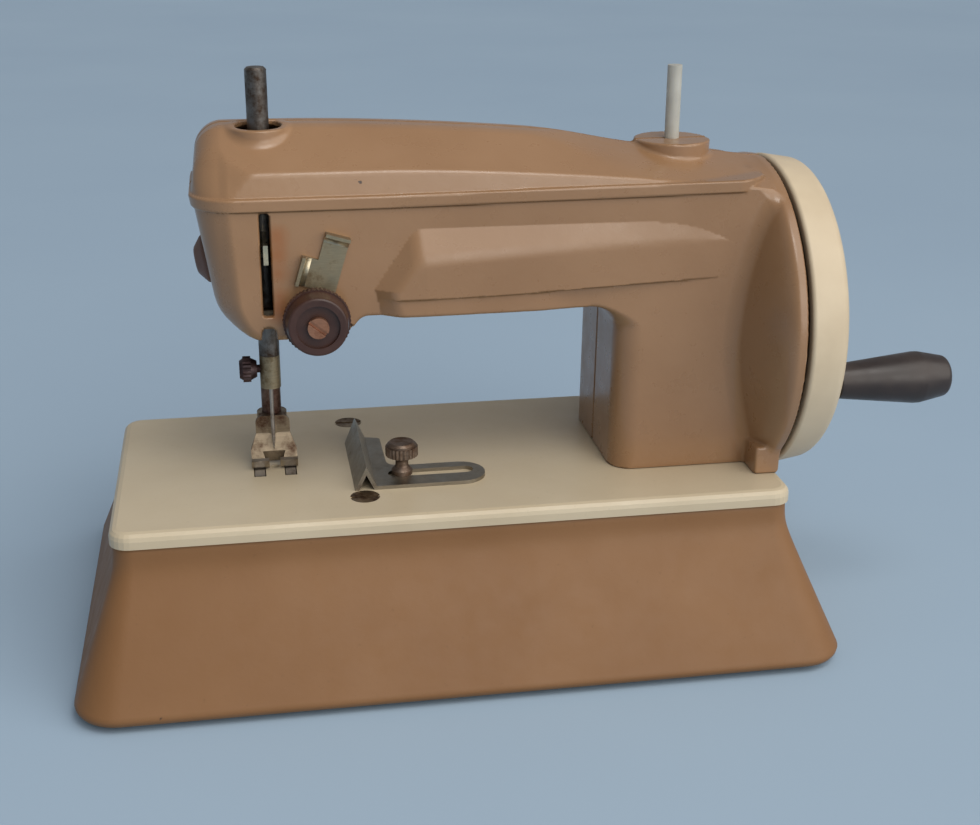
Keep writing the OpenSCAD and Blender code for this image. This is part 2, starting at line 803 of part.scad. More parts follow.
// The roof, from the rounded nose on the left to the collar on the right
module roof_form(inset, floor_z) {
    end_half = body_half * roof_end_half_share;
    hull() {
        for (a = nose_angles) {
            nose = nose_x + inset + (nose_r - inset) * (1 - cos(a));
            drop = roof_nose_drop * (1 - sin(a));
            roof_slice(nose, body_half - inset - (nose_r - inset) * (1 - sin(a)), crest_z - inset - drop,
                roof_crease(nose) - inset - drop, floor_z);
        }
        for (s = roof_run_shares) {
            x = needle_x + (arm_end_x - needle_x) * s;
            roof_slice(x, body_half - inset, roof_crest(x) - inset, roof_crease(x) - inset, floor_z);
        }
        roof_slice(arm_end_x - roof_end_back - inset, body_half - inset, roof_crest(arm_end_x) - inset,
            roof_crease(arm_end_x) - inset, floor_z);
        roof_slice(collar_x1 - collar_rim_w - inset, end_half - inset, wheel_z + sqrt(collar_r * collar_r
            - ridge_half * ridge_half) - inset, wheel_z + sqrt(collar_r * collar_r - end_half * end_half)
            - inset, floor_z);
    }
}
module plan_outline(inset, x1) {
    translate([0, head_y]) polygon(rounded([ [nose_x + inset, -body_half + inset, nose_r - inset],
        [x1, -body_half + inset, 0], [x1, body_half - inset, 0], [nose_x + inset, body_half - inset,
        nose_r - inset]]));
}
// The arm and the needle head, seen from the front
module arm_outline(inset, x1, top_z) {
    polygon(rounded([ [nose_x + nose_lean + inset, head_z0 + inset, nose_chin_r - inset],
        [nose_x + head_w - inset, head_z0 + inset, head_step_r + inset], [nose_x + head_w + head_step_l
        - inset, arm_z0 + inset, head_step_r + inset], [x1, arm_z0 + inset, 0], [x1, top_z, 0],
        [nose_x + inset, top_z, 0]]));
}
module collar_profile(inset, x_end) {
    run = flare_l - collar_rim_w;
    flare = [for (s = flare_shares) [body_half - inset + (collar_r - body_half) * s * s * (3 - 2 * s),
        flare_x0 + inset + run * s]];
    polygon(concat([[0, flare_x0 + inset]], flare, [[collar_r - inset, x_end], [0, x_end]]));
}
module pillar_outline(inset, x1) {
    translate([0, head_y]) polygon(rounded([ [pillar_x0 + inset, -body_half + inset, pillar_r - inset],
        [x1, -body_half + inset, 0], [x1, body_half - inset, 0], [pillar_x0 + inset, body_half - inset,
        pillar_r - inset]]));
}
module shell_form() {
    intersection() {
        along_y(front_y, rear_y) arm_outline(0, arm_end_x, lip_z1);
        along_z(head_z0, lip_z1) plan_outline(0, arm_end_x);
    }
    along_z(lip_z0, lip_z1) plan_outline(-lip_proud, arm_end_x);
    along_z(bed_z, lip_z0) pillar_outline(0, collar_x1 - collar_rim_w);
    along_y(front_y + pillar_r, rear_y - pillar_r) difference() {
        translate([pillar_x0 - throat_fillet_r, arm_z0 - throat_fillet_r])
            square([throat_fillet_r + overrun, throat_fillet_r + overrun]);
        translate([pillar_x0 - throat_fillet_r, arm_z0 - throat_fillet_r]) circle(r = throat_fillet_r);
    }
    roof_form(0, lip_z0 + lip_h / 2);
    intersection() {
        turned_x(head_y, wheel_z) collar_profile(0, collar_x1);
        block(flare_x0, collar_x1, head_y - collar_r, head_y + collar_r, bed_z, wheel_z + collar_r);
    }
    block(plinth_x0, collar_x1, head_y - plinth_half, head_y + plinth_half, bed_z, bed_z + plinth_h);
    rod_z(spool_seat_r, lip_z1, spool_seat_z, spool_x, head_y);
    rod_z(bar_boss_r, lip_z1, crest_z - bar_boss_drop, needle_x, needle_y);
}
module shell_cavity() {
    intersection() {
        along_y(front_y, rear_y) arm_outline(body_wall, arm_end_x - body_wall, lip_z1 + overrun);
        along_z(head_z0, lip_z1 + overrun) plan_outline(body_wall, arm_end_x);
    }
    along_z(bed_z - overrun, lip_z0) pillar_outline(body_wall, arm_end_x - body_wall);
    roof_form(roof_wall, lip_z0 + lip_h / 2);
    intersection() {
        turned_x(head_y, wheel_z) collar_profile(body_wall, collar_x1 + overrun);
        block(flare_x0, collar_x1 + overrun, head_y - collar_r, head_y + collar_r, bed_z + body_wall,
            wheel_z + collar_r);
    }
    block(flare_x0, collar_x1 + overrun, head_y - bay_half, head_y + bay_half, bed_z - overrun, lip_z0);
    rod_z(bar_hole_r, lip_z1, crest_z + overrun, needle_x, needle_y);
    rod_z(spool_stem_r + fit_gap, spool_seat_z - spool_stem_l, spool_seat_z + overrun, spool_x, head_y);
    block(needle_x - guide_block_half - seat_gap, needle_x + guide_block_half + seat_gap,
        needle_y - guide_ends - seat_gap, presser_y + guide_ends + seat_gap, head_z0 - overrun,
        head_z0 + body_wall + overrun);
    block(needle_x - guide_flange_half - seat_gap, needle_x + guide_flange_half + seat_gap,
        needle_y - guide_ends - overrun - seat_gap, presser_y + guide_ends + overrun + seat_gap,
        head_z0 + body_wall, head_z0 + body_wall + guide_flange_t + seat_gap);
}
module cover_screw_rods(r, y0, y1) {
    for (p = cover_screw_places) rod_y(r, y0, y1, p.x, p.y);
}
module head_screw_holes(z0, z1, r) {
    for (x = [head_screw_x0, head_screw_x1], s = [-1, 1]) rod_z(r, z0, z1, x,
        head_y + s * head_screw_half);
}
module head_bosses() {
    difference() {
        union() {
            head_screw_holes(bed_z, bed_z + head_boss_h, boss_r);
            for (x = [head_screw_x0, head_screw_x1], s = [-1, 1]) {
                y0 = head_y + s * head_screw_half;
                y1 = head_y + s * (body_half - body_wall / 2);
                block_x(x, 2 * boss_r, min(y0, y1), max(y0, y1), bed_z, bed_z + head_boss_h);
            }
        }
        head_screw_holes(bed_z - overrun, bed_z + screw_grip + overrun, screw_r + fit_gap);
    }
}
module ball_hull(places) {
    hull() {
        for (p = places) translate(p) sphere(r = bulge_blunt_r, $fn = hull_fn / 2);
    }
}
// The streamlined panel, and the lower band that it overhangs
module bulge() {
    back = front_y + bulge_blunt_r;
    tip = front_y - bulge_proud + bulge_blunt_r;
    low = arm_z0 + bulge_low;
    high = arm_z0 + bulge_high;
    band_x = bulge_x0 + bulge_band_in;
    band_low = arm_z0 + bulge_blunt_r;
    ball_hull([[bulge_x0, back, low], [bulge_x0 + bulge_nose_l, back, high], [bulge_x1, back,
        arm_z0 + bulge_tail_high], [bulge_x1, back, arm_z0 + bulge_tail_low], [bulge_x0 + bulge_blunt_r,
        tip, low + bulge_blunt_r], [bulge_x0 + bulge_nose_l, tip, high - bulge_slope_h]]);
    ball_hull([for (z = [band_low, low]) each [[bulge_x0, back, z], [band_x + bulge_band_l, back, z],
        [band_x, tip + bulge_step, z]]]);
}
module front_casting() {
    color(tan_paint) intersection() {
        union() {
            difference() {
                union() {
                    shell_form();
                    bulge();
                }
                shell_cavity();
                block_x(needle_x, slot_w, front_y - overrun, front_y + body_wall + nose_r,
                    lip_z0 - slot_top_gap - slot_h, lip_z0 - slot_top_gap);
                along_y(front_y - overrun, front_y + body_wall + nose_r) {
                    translate([needle_x, head_z0 + notch_h - notch_r]) circle(r = notch_r);
                    translate([needle_x - notch_r, head_z0 - overrun])
                        square([2 * notch_r, notch_h - notch_r + overrun]);
                }
                bore_y(tension_stud_r + fit_gap, front_y, front_y + body_wall, tension_x, tension_z);
                plug_socket();
            }
            difference() {
                cover_screw_rods(cover_screw_boss_r, front_y + body_wall / 2, head_y);
                cover_screw_rods(screw_r + fit_gap, head_y - screw_grip - overrun, head_y + overrun);
            }
            head_bosses();
            difference() {
                block(arm_bush_x0, arm_bush_x0 + rib_t, front_y + body_wall / 2, head_y,
                    arm_z0 + body_wall / 2, lip_z1);
                bore_x(arm_bush_r + fit_gap, arm_bush_x0, arm_bush_x0 + rib_t, head_y, arm_shaft_z);
            }
            block_x(needle_x, 2 * guide_flange_half, front_y + body_wall / 2, needle_y - guide_ends
                + shelf_lap, upper_guide_z - shelf_t, upper_guide_z);
        }
        block(nose_x - overrun - lip_proud, collar_x1, head_y - collar_r, head_y, bed_z,
            crest_z + overrun);
    }
}
module rear_cover() {
    color(tan_paint) intersection() {
        union() {
            difference() {
                shell_form();
                shell_cavity();
                cover_screw_rods(screw_r + seat_gap, head_y, rear_y + overrun);
                cover_screw_rods(screw_head_r + seat_gap, rear_y - cover_screw_head_depth,
                    rear_y + overrun);
                bore_y(lifter_shaft_r + fit_gap, rear_y - body_wall, rear_y, needle_x, lifter_z);
                plug_socket();
            }
            difference() {
                cover_screw_rods(cover_screw_boss_r + body_wall, head_y, rear_y - body_wall / 2);
                cover_screw_rods(screw_r + seat_gap, head_y - overrun, rear_y + overrun);
                cover_screw_rods(screw_head_r + seat_gap, rear_y - cover_screw_head_depth,
                    rear_y + overrun);
            }
            head_bosses();
            difference() {
                block(arm_bush_x0, arm_bush_x0 + rib_t, head_y, rear_y - body_wall / 2, arm_z0 + body_wall
                    / 2, lip_z1);
                bore_x(arm_bush_r + fit_gap, arm_bush_x0, arm_bush_x0 + rib_t, head_y, arm_shaft_z);
            }
        }
        block(nose_x - overrun - lip_proud, collar_x1, head_y + seam_gap, head_y + collar_r, bed_z,
            crest_z + overrun);
    }
}
module cover_screws() {
    color(steel) {
        cover_screw_rods(screw_r, head_y - screw_grip, rear_y - cover_screw_head_depth);
        cover_screw_rods(screw_head_r, rear_y - cover_screw_head_depth, rear_y - cover_screw_head_depth
            + screw_head_t);
    }
}
module head_screws() {
    color(steel) {
        head_screw_holes(bed_under_z - hanger_t - screw_head_t, bed_z + screw_grip, screw_r);
        head_screw_holes(bed_under_z - hanger_t - screw_head_t, bed_under_z - hanger_t, screw_head_r);
    }
}
// A round plug seated in the leaning left end of the head
module plug_place() {
    lean = atan(nose_lean / (lip_z1 - head_z0));
    z = head_z0 + plug_up + plug_r;
    x = nose_x + nose_lean * (lip_z1 - z) / (lip_z1 - head_z0);
    translate([x, head_y, z]) rotate([0, -90 - lean, 0]) children();
}
module plug_socket() {
    plug_place() translate([0, 0, -plug_stem_l - overrun]) cylinder(r = plug_stem_r + fit_gap,
        h = plug_stem_l + 2 * overrun);
}
module end_plug() {
    color(dark_brown) plug_place() {
        translate([0, 0, -plug_stem_l]) cylinder(r = plug_stem_r, h = plug_stem_l + fit_gap);
        translate([0, 0, plug_seat]) rotate_extrude() polygon(rounded([[0, 0, 0], [plug_r, 0, 0],
            [plug_r, plug_t - plug_dome_r, plug_dome_r / 2], [plug_r / 2, plug_t, plug_dome_r],
            [0, plug_t, 0]]));
    }
}

// Gear plate, wheel and crank
module gear_plate() {
    color(steel) difference() {
        block(gear_plate_x0, gear_plate_x1, head_y - gear_plate_half, head_y + gear_plate_half, bed_z,
            gear_plate_z1);
        bore_x(axle_r + fit_gap, gear_plate_x0, gear_plate_x1, head_y, wheel_z);
        bore_x(arm_shaft_r + fit_gap, gear_plate_x0, gear_plate_x1, head_y, arm_shaft_z);
        bore_x(idler_shaft_r + fit_gap, gear_plate_x0, gear_plate_x1, head_y, idler_z);
    }
}
module wheel_axle() {
    color(steel) difference() {
        union() {
            rod_x(axle_flange_r, gear_plate_x0 - axle_flange_t, gear_plate_x0, head_y, wheel_z);
            rod_x(axle_r, gear_plate_x0 - axle_flange_t, axle_x1, head_y, wheel_z);
        }
        bore_x(screw_r + fit_gap, axle_x1 - screw_grip, axle_x1, head_y, wheel_z);
    }
}
module axle_screw() {
    color(steel) {
        rod_x(screw_r, axle_x1 - screw_grip, axle_x1, head_y, wheel_z);
        turned_x(head_y, wheel_z) polygon(rounded([[0, axle_x1, 0], [axle_screw_head_r, axle_x1, 0],
            [axle_screw_head_r, axle_x1 + axle_screw_head_t, axle_screw_head_t / 2],
            [0, axle_x1 + axle_screw_head_t, 0]]));
    }
}
module handwheel() {
    rim_in = wheel_r - wheel_rim_t;
    hub_end = axle_x1 - seat_gap;
    color(cream) difference() {
        union() {
            turned_x(head_y, wheel_z) polygon(rounded([ [axle_r + fit_gap, hub_x0, 0], [hub_r, hub_x0, 0],
                [hub_r, wheel_web_x0, 0], [rim_in, wheel_web_x0, 0], [rim_in, wheel_x0, 0],
                [wheel_r, wheel_x0, bed_edge_r / 2], [wheel_r - wheel_taper, wheel_x1, wheel_edge_r],
                [wheel_r - wheel_taper - wheel_face_w, wheel_x1, bed_edge_r],
                [wheel_r - wheel_taper - wheel_face_w - wheel_dish, wheel_web_x1, bed_edge_r],
                [hub_r + wheel_dish, wheel_web_x1, 0], [hub_r, hub_end, 0], [axle_r + fit_gap, hub_end,
                0]]));
            rod_x(handle_boss_r, wheel_web_x0, wheel_x1, handle_y, handle_z);
        }
        rod_x(handle_stud_r + fit_gap, wheel_x0, wheel_x1 + overrun, handle_y, handle_z);
    }
}
module wheel_gear() {
    color(aged_brass) gear(wheel_teeth, gear_x0, wheel_z, hub_r + fit_gap);
}
module handle_stud() {
    color(steel) {
        rod_x(handle_stud_r, wheel_web_x0, handle_x1 - stud_head_sink, handle_y, handle_z);
        rod_x(stud_head_r, handle_x1 - stud_head_sink, handle_x1 - stud_head_sink + stud_head_t, handle_y,
            handle_z);
    }
}
module crank_handle() {
    peak_x = handle_x0 + handle_l * handle_peak_share;
    bore_r = handle_stud_r + fit_gap;
    sink_x = handle_x1 - stud_head_sink - seat_gap;
    color(dark_brown) turned_x(handle_y, handle_z) polygon(rounded([ [bore_r, handle_x0, 0],
        [handle_root_r, handle_x0, bar_chamfer], [handle_r, peak_x, handle_r], [handle_end_r, handle_x1,
        handle_tip_r], [stud_head_r + seat_gap, handle_x1, 0], [stud_head_r + seat_gap, sink_x, 0],
        [bore_r, sink_x, 0]]));
}

// Arm shaft and needle crank
module arm_bush() {
    color(aged_brass) difference() {
        rod_x(arm_bush_r, arm_bush_x0, arm_bush_x0 + arm_bush_l, head_y, arm_shaft_z);
        bore_x(arm_shaft_r + fit_gap, arm_bush_x0, arm_bush_x0 + arm_bush_l, head_y, arm_shaft_z);
    }
}
module arm_shaft() {
    color(steel) rod_x(arm_shaft_r, crank_disc_x0, gear_x1, head_y, arm_shaft_z);
}
module arm_pinion() {
    color(aged_brass) gear(pinion_teeth, gear_x0, arm_shaft_z, arm_shaft_r + fit_gap);
}
module needle_crank() {
    color(steel) {
        difference() {
            rod_x(crank_r + crank_disc_rim, crank_disc_x0, crank_disc_x1, head_y, arm_shaft_z);
            bore_x(arm_shaft_r + fit_gap, crank_disc_x0, crank_disc_x1, head_y, arm_shaft_z);
        }
        rod_x(crank_pin_r, yoke_x1 + yoke_gap, crank_disc_x0, head_y, arm_shaft_z + crank_r);
    }
}

// Shafts that lead down to the looper
module idler_shaft() {
    color(steel) rod_x(idler_shaft_r, idler_gear_x0, gear_x1, head_y, idler_z);
}
module idler_pinion() {
    color(aged_brass) gear(pinion_teeth, gear_x0, idler_z, idler_shaft_r + fit_gap);
}
module idler_gear() {
    color(aged_brass) gear(idler_teeth, idler_gear_x0, idler_z, idler_shaft_r + fit_gap);
}
module looper_gear() {
    color(aged_brass) gear(idler_teeth, idler_gear_x0, looper_z, looper_shaft_r + fit_gap);
}
module looper_shaft() {
    color(steel) rod_x(looper_shaft_r, looper_x1 - looper_t, idler_gear_x1, head_y, looper_z);
}
module looper_hanger() {
    color(steel) difference() {
        union() {
            block_x(head_screw_x0, hanger_w, head_y - head_screw_half - hanger_w / 2,
                head_y + head_screw_half + hanger_w / 2, bed_under_z - hanger_t, bed_under_z);
            for (s = [-1, 1]) block(head_screw_x0, head_screw_x1 + hanger_w / 2,
                head_y + s * head_screw_half - hanger_w / 2, head_y + s * head_screw_half + hanger_w / 2,
                bed_under_z - hanger_t, bed_under_z);
            block_x(head_screw_x0, hanger_w, head_y - hanger_w, head_y + hanger_w, looper_z - hanger_w
                / 2, bed_under_z - hanger_t);
        }
        rod_x(looper_shaft_r + fit_gap, head_screw_x0 - hanger_w, head_screw_x0 + hanger_w, head_y,
            looper_z);
        head_screw_holes(bed_under_z - hanger_t - overrun, bed_under_z + overrun, screw_r + seat_gap);
    }
}
module looper_frame() {
    half = skirt_top_d / 2 - skirt_wall - 2 * seat_gap;
    color(steel) difference() {
        union() {
            block_x(bed_screw_x, frame_bar_w, -half, half, frame_bar_z0, frame_bar_z1);
            block_x(bed_screw_x, frame_bar_w, head_y - hanger_w, head_y + hanger_w, looper_z - hanger_w
                / 2, frame_bar_z1);
        }
        rod_x(looper_shaft_r + fit_gap, bed_screw_x - frame_bar_w, bed_screw_x + frame_bar_w, head_y,
            looper_z);
        bed_screw_form(fit_gap);
        rod_z(bed_screw_r + fit_gap, frame_bar_z0 - overrun, frame_bar_z1, bed_screw_x,
            bed_screw_y0 - bed_screw_span / 2);
        rod_z(bed_screw_r + fit_gap, frame_bar_z0 - overrun, frame_bar_z1, bed_screw_x,
            bed_screw_y0 + bed_screw_span / 2);
    }
}
module looper_hook() {
    x0 = looper_x1 - looper_t;
    color(steel) translate([0, head_y, looper_z]) along_x(x0, looper_x1) difference() {
        union() {
            circle(r = looper_hub_r);
            translate([-looper_arm_w / 2, 0]) square([looper_arm_w, looper_reach - looper_arm_w]);
            polygon([[-looper_arm_w / 2, looper_reach - looper_arm_w], [looper_arm_w / 2,
                looper_reach - looper_arm_w], [-looper_arm_w / 2, looper_reach - looper_arm_w / 4]]);
        }
        circle(r = looper_shaft_r + fit_gap);
    }
}
module feed_cam() {
    x0 = feed_rod_x + feed_block_half + seat_gap;
    color(steel) difference() {
        rod_x(feed_cam_r, x0, x0 + feed_cam_t, head_y, looper_z + feed_cam_offset);
        bore_x(looper_shaft_r + fit_gap, x0, x0 + feed_cam_t, head_y, looper_z);
    }
}

// Feed dog and the rod that it slides on
module feed_dog() {
    bridge_z1 = bed_under_z - dog_bridge_gap;
    y0 = dog_slot_y - dog_l / 2;
    teeth = floor(dog_l / dog_tooth / 2);
    step = dog_l / teeth;
    color(steel) difference() {
        union() {
            for (s = [-1, 1]) along_x(needle_x + s * dog_offset - dog_w / 2, needle_x + s * dog_offset
                + dog_w / 2) polygon(concat([[y0, bridge_z1 - dog_bridge_t]], [for (i = [0:teeth - 1])
                each [[y0 + i * step, bed_z + dog_top - dog_tooth], [y0 + (i + 1) * step,
                bed_z + dog_top]]], [[y0 + dog_l, bridge_z1 - dog_bridge_t]]));
            block(needle_x - dog_offset - dog_w / 2, feed_rod_x + feed_block_half, dog_bridge_y,
                dog_bridge_y + dog_bridge_w, bridge_z1 - dog_bridge_t, bridge_z1);
            block_x(feed_rod_x, 2 * feed_block_half, dog_bridge_y, dog_bridge_y + 2 * dog_bridge_w,
                feed_rod_z - feed_block_half, bridge_z1);
        }
        bore_y(feed_rod_r + fit_gap, dog_bridge_y, dog_bridge_y + 2 * dog_bridge_w, feed_rod_x,
            feed_rod_z);
    }
}
module feed_guide() {
    y0 = dog_bridge_y - feed_travel - feed_ear_gap;
    y1 = dog_bridge_y + 2 * dog_bridge_w + feed_travel + feed_ear_gap;
    color(steel) {
        rod_y(feed_rod_r, y0 - feed_ear_t, y1 + feed_ear_t, feed_rod_x, feed_rod_z);
        for (y = [y0 - feed_ear_t, y1]) block_x(feed_rod_x, 2 * feed_block_half, y, y + feed_ear_t,
            feed_rod_z - feed_block_half, bed_under_z);
    }
}

// Needle bar and what it carries
module needle_bar() {
    top = crest_z + needle_bar_proud;
    color(steel) difference() {
        turned_z(needle_x, needle_y) polygon([[0, clamp_z1 - clamp_overlap], [needle_bar_r,
            clamp_z1 - clamp_overlap], [needle_bar_r, top - bar_chamfer], [needle_bar_r - bar_chamfer,
            top], [0, top]]);
        rod_z(needle_bar_r + fit_gap, clamp_z1 - clamp_overlap - overrun, clamp_z1, needle_x, needle_y);
    }
}
module needle_yoke() {
    z = arm_shaft_z + crank_r;
    color(steel) difference() {
        union() {
            rod_z(yoke_hub_r, z - yoke_h / 2, z + yoke_h / 2, needle_x, needle_y);
            block(needle_x, yoke_x1, needle_y - yoke_hub_r / 2, needle_y + yoke_hub_r / 2, z - yoke_h / 2,
                z + yoke_h / 2);
            block(yoke_x0, yoke_x1, needle_y - yoke_hub_r, crank_reach_y, z - yoke_h / 2, z + yoke_h / 2);
        }
        rod_z(needle_bar_r + fit_gap, z - yoke_h, z + yoke_h, needle_x, needle_y);
        block(yoke_x0 - overrun / 2, yoke_x1 + overrun, head_y - crank_r, head_y + crank_r,
            z - yoke_slot_r, z + yoke_slot_r);
        for (s = [-1, 1]) rod_x(yoke_slot_r, yoke_x0 - overrun / 2, yoke_x1 + overrun,
            head_y + s * crank_r, z);
    }
}
module take_up_eyelet() {
    z = lip_z0 - slot_top_gap - take_up_drop - take_up_h;
    ring_z1 = arm_shaft_z + crank_r - yoke_h / 2 - take_up_gap;
    ring_z0 = ring_z1 - take_up_h;
    yoke_front = needle_y - yoke_hub_r - seat_gap;
    color(steel) difference() {
        union() {
            block_x(needle_x, take_up_t, front_y - take_up_proud, yoke_front, z, z + take_up_h);
            block_x(needle_x, take_up_t, yoke_front - take_up_t, needle_y, z, ring_z1);
            rod_z(yoke_hub_r, ring_z0, ring_z1, needle_x, needle_y);
        }
        bore_z(needle_bar_r + fit_gap, ring_z0, ring_z1, needle_x, needle_y);
        rod_x(take_up_eye_r, needle_x - take_up_t, needle_x + take_up_t, front_y + take_up_eye_r,
            z + take_up_h / 2);
    }
}
module needle_clamp() {
    color(aged_brass) difference() {
        rod_z(clamp_r, clamp_z0, clamp_z1 - seat_gap / 3, needle_x, needle_y);
        rod_z(needle_r + fit_gap, clamp_z0 - overrun, clamp_z1 - clamp_overlap, needle_x, needle_y);
        rod_x(clamp_screw_r + fit_gap, needle_x - clamp_r - overrun, needle_x - needle_r, needle_y,
            clamp_screw_z);
    }
}
module needle_clamp_screw() {
    x1 = needle_x - clamp_r - clamp_knob_gap;
    color(dark_brown) {
        rod_x(clamp_screw_r, x1, needle_x - needle_r - seat_gap, needle_y, clamp_screw_z);
        translate([0, needle_y, clamp_screw_z]) along_x(x1 - clamp_knob_t * knob_band_share,
            x1 - clamp_knob_t * knob_back_share) polygon(knurl(clamp_knob_r, knurl_teeth(clamp_knob_r)));
        turned_x(needle_y, clamp_screw_z) polygon([[0, x1 - clamp_knob_t],
            [clamp_knob_r - bar_chamfer * 2, x1 - clamp_knob_t], [clamp_knob_r - 2 * knurl_depth,
            x1 - clamp_knob_t * knob_band_share], [clamp_knob_r - 2 * knurl_depth, x1 - clamp_knob_t
            * knob_back_share], [clamp_screw_r * 2, x1], [0, x1]]);
    }
}
module needle() {
    color(steel) turned_z(needle_x, needle_y) polygon([[0, clamp_z0 - needle_l],
        [needle_r, clamp_z0 - needle_l + needle_point_l], [needle_r, clamp_z1 - clamp_overlap - seat_gap],
        [0, clamp_z1 - clamp_overlap - seat_gap]]);
}
module bar_holes(z0, z1) {
    rod_z(needle_bar_r + fit_gap, z0, z1, needle_x, needle_y);
    rod_z(presser_bar_r + fit_gap, z0, z1, needle_x, presser_y);
}
module lower_bar_guide() {
    floor_z = head_z0 + body_wall;
    color(aged_brass) difference() {
        union() {
            block_x(needle_x, 2 * guide_block_half, needle_y - guide_ends, presser_y + guide_ends,
                head_z0, floor_z);
            block_x(needle_x, 2 * guide_flange_half, needle_y - guide_ends - overrun,
                presser_y + guide_ends + overrun, floor_z, floor_z + guide_flange_t);
        }
        bar_holes(head_z0 - overrun, floor_z + guide_flange_t + overrun);
    }
}
module upper_bar_guide() {
    color(aged_brass) difference() {
        block_x(needle_x, 2 * guide_flange_half, needle_y - guide_ends, presser_y + guide_ends,
            upper_guide_z, upper_guide_z + upper_guide_t);
        bar_holes(upper_guide_z - overrun, upper_guide_z + upper_guide_t + overrun);
    }
}

// Presser bar, foot, spring and lifter
module presser_bar() {
    color(steel) rod_z(presser_bar_r, bed_z + foot_shank_h - foot_socket_h, presser_top_z, needle_x,
        presser_y);
}
module presser_collar() {
    color(steel) difference() {
        union() {
            rod_z(presser_collar_r, presser_collar_z, presser_collar_z + presser_collar_t, needle_x,
                presser_y);
            block_x(needle_x, presser_lug_w, presser_y, cam_y0 + cam_w, presser_collar_z, presser_collar_z
                + presser_collar_t);
        }
        bore_z(presser_bar_r + fit_gap, presser_collar_z, presser_collar_z + presser_collar_t, needle_x,
            presser_y);
    }
}
// The foot is one bent sheet, seen here from its side: [place along Y, height above the bed]
module foot_sheet_outline() {
    back = presser_y - foot_socket_r + foot_sheet_in;
    low = foot_sole_gap;
    toe = needle_y - foot_toe_fwd;
    bend = foot_shank_h * foot_bend_share;
    sole = needle_y + foot_sole_in;
    polygon(rounded([ [back, foot_shank_h, 0], [back, bend, foot_sheet], [sole, low + foot_sheet,
        foot_sheet], [toe + foot_sheet * 2, low + foot_sheet, foot_sheet],
        [toe, low + foot_toe_rise + foot_sheet / 2, 0], [toe - foot_sheet, low + foot_toe_rise, 0],
        [toe + foot_sheet, low, foot_sheet], [sole + foot_sheet, low, foot_sheet], [back + foot_sheet,
        bend, foot_sheet], [back + foot_sheet, foot_shank_h, 0]]));
}
module presser_foot() {
    socket_z = bed_z + foot_shank_h - foot_socket_h;
    color(steel) difference() {
        union() {
            intersection() {
                translate([0, 0, bed_z]) along_x(needle_x - foot_w / 2, needle_x + foot_w / 2)
                    foot_sheet_outline();
                along_y(front_y, rear_y) translate([needle_x, bed_z])
                    polygon(rounded([ [-foot_w / 2, 0, 0], [foot_w / 2, 0, 0], [foot_w / 2,
                    foot_shank_h * foot_bend_share / 2, foot_sheet], [foot_shank_w / 2,
                    foot_shank_h * foot_bend_share, foot_sheet], [foot_shank_w / 2, foot_shank_h,
                    foot_sheet * 2], [-foot_shank_w / 2, foot_shank_h, foot_sheet * 2],
                    [-foot_shank_w / 2, foot_shank_h * foot_bend_share, foot_sheet], [-foot_w / 2,
                    foot_shank_h * foot_bend_share / 2, foot_sheet]]));
            }
            rod_z(foot_socket_r, socket_z, bed_z + foot_shank_h, needle_x, presser_y);
        }
        rod_z(presser_bar_r + fit_gap, socket_z, bed_z + foot_shank_h + overrun, needle_x, presser_y);
        along_z(bed_z, bed_z + foot_shank_h * foot_bend_share) translate([needle_x, needle_y])
            polygon([ [-foot_gap_w / 2, -2 * foot_toe_fwd], [foot_gap_w / 2, -2 * foot_toe_fwd],
            [foot_gap_w / 2, 0], [foot_vee_w / 2, foot_sole_in + foot_sheet], [-foot_vee_w / 2,
            foot_sole_in + foot_sheet], [-foot_gap_w / 2, 0]]);
    }
}
// A closed coil of round wire along Z, as one swept tube
module coil(r, wire_r, turns, z0, z1) {
    n = turns * coil_rings;
    ring = function (i) let (a = 360 * i / coil_rings, z = z0 + wire_r + (z1 - z0 - 2 * wire_r) * i / n)
        [for (k = [0:coil_sides - 1]) let (b = 360 * k / coil_sides) [(r + wire_r * cos(b)) * cos(a),
        (r + wire_r * cos(b)) * sin(a), z + wire_r * sin(b)]];
    quads = [for (i = [0:n - 1], k = [0:coil_sides - 1]) let (a = i * coil_sides,
        q = (k + 1) % coil_sides) each [[a + k, a + q, a + coil_sides + k], [a + q, a + coil_sides + q,
        a + coil_sides + k]]];
    caps = [[for (k = [coil_sides - 1:-1:0]) k], [for (k = [0:coil_sides - 1]) n * coil_sides + k]];
    polyhedron(points = [for (i = [0:n]) each ring(i)], faces = concat(quads, caps));
}
module presser_spring() {
    z0 = presser_collar_z + presser_collar_t + seat_gap / 3;
    color(steel) translate([needle_x, presser_y, 0]) coil(spring_coil_r, spring_wire_r, spring_turns, z0,
        upper_guide_z - seat_gap / 3);
}
// The lifting cam rises evenly as it turns, so its edge is the involute of a small circle
module cam_outline() {
    rise = presser_lift / (lift_angle * PI / 180);
    edge = [for (a = [0:10:lift_angle]) let (h = cam_base_r + rise * a * PI / 180)
        [h * sin(a) + rise * cos(a), h * cos(a) - rise * sin(a)]];
    polygon(concat([[0, cam_base_r]], edge, [[cam_base_r, -cam_base_r], [-cam_base_r, -cam_base_r],
        [-cam_base_r, 0]]));
}
module presser_lifter() {
    lever_y = rear_y + lever_gap;
    color(steel) {
        along_y(cam_y0, cam_y0 + cam_w) translate([needle_x, lifter_z]) cam_outline();
        rod_y(lifter_shaft_r, cam_y0 + cam_w, lever_y + lever_t, needle_x, lifter_z);
        along_y(lever_y, lever_y + lever_t) translate([needle_x, lifter_z]) {
            circle(r = lever_w / 2);
            translate([-lever_w / 2, -lever_l]) square([lever_w, lever_l]);
            translate([0, -lever_l]) circle(r = lever_w / 2);
        }
    }
}

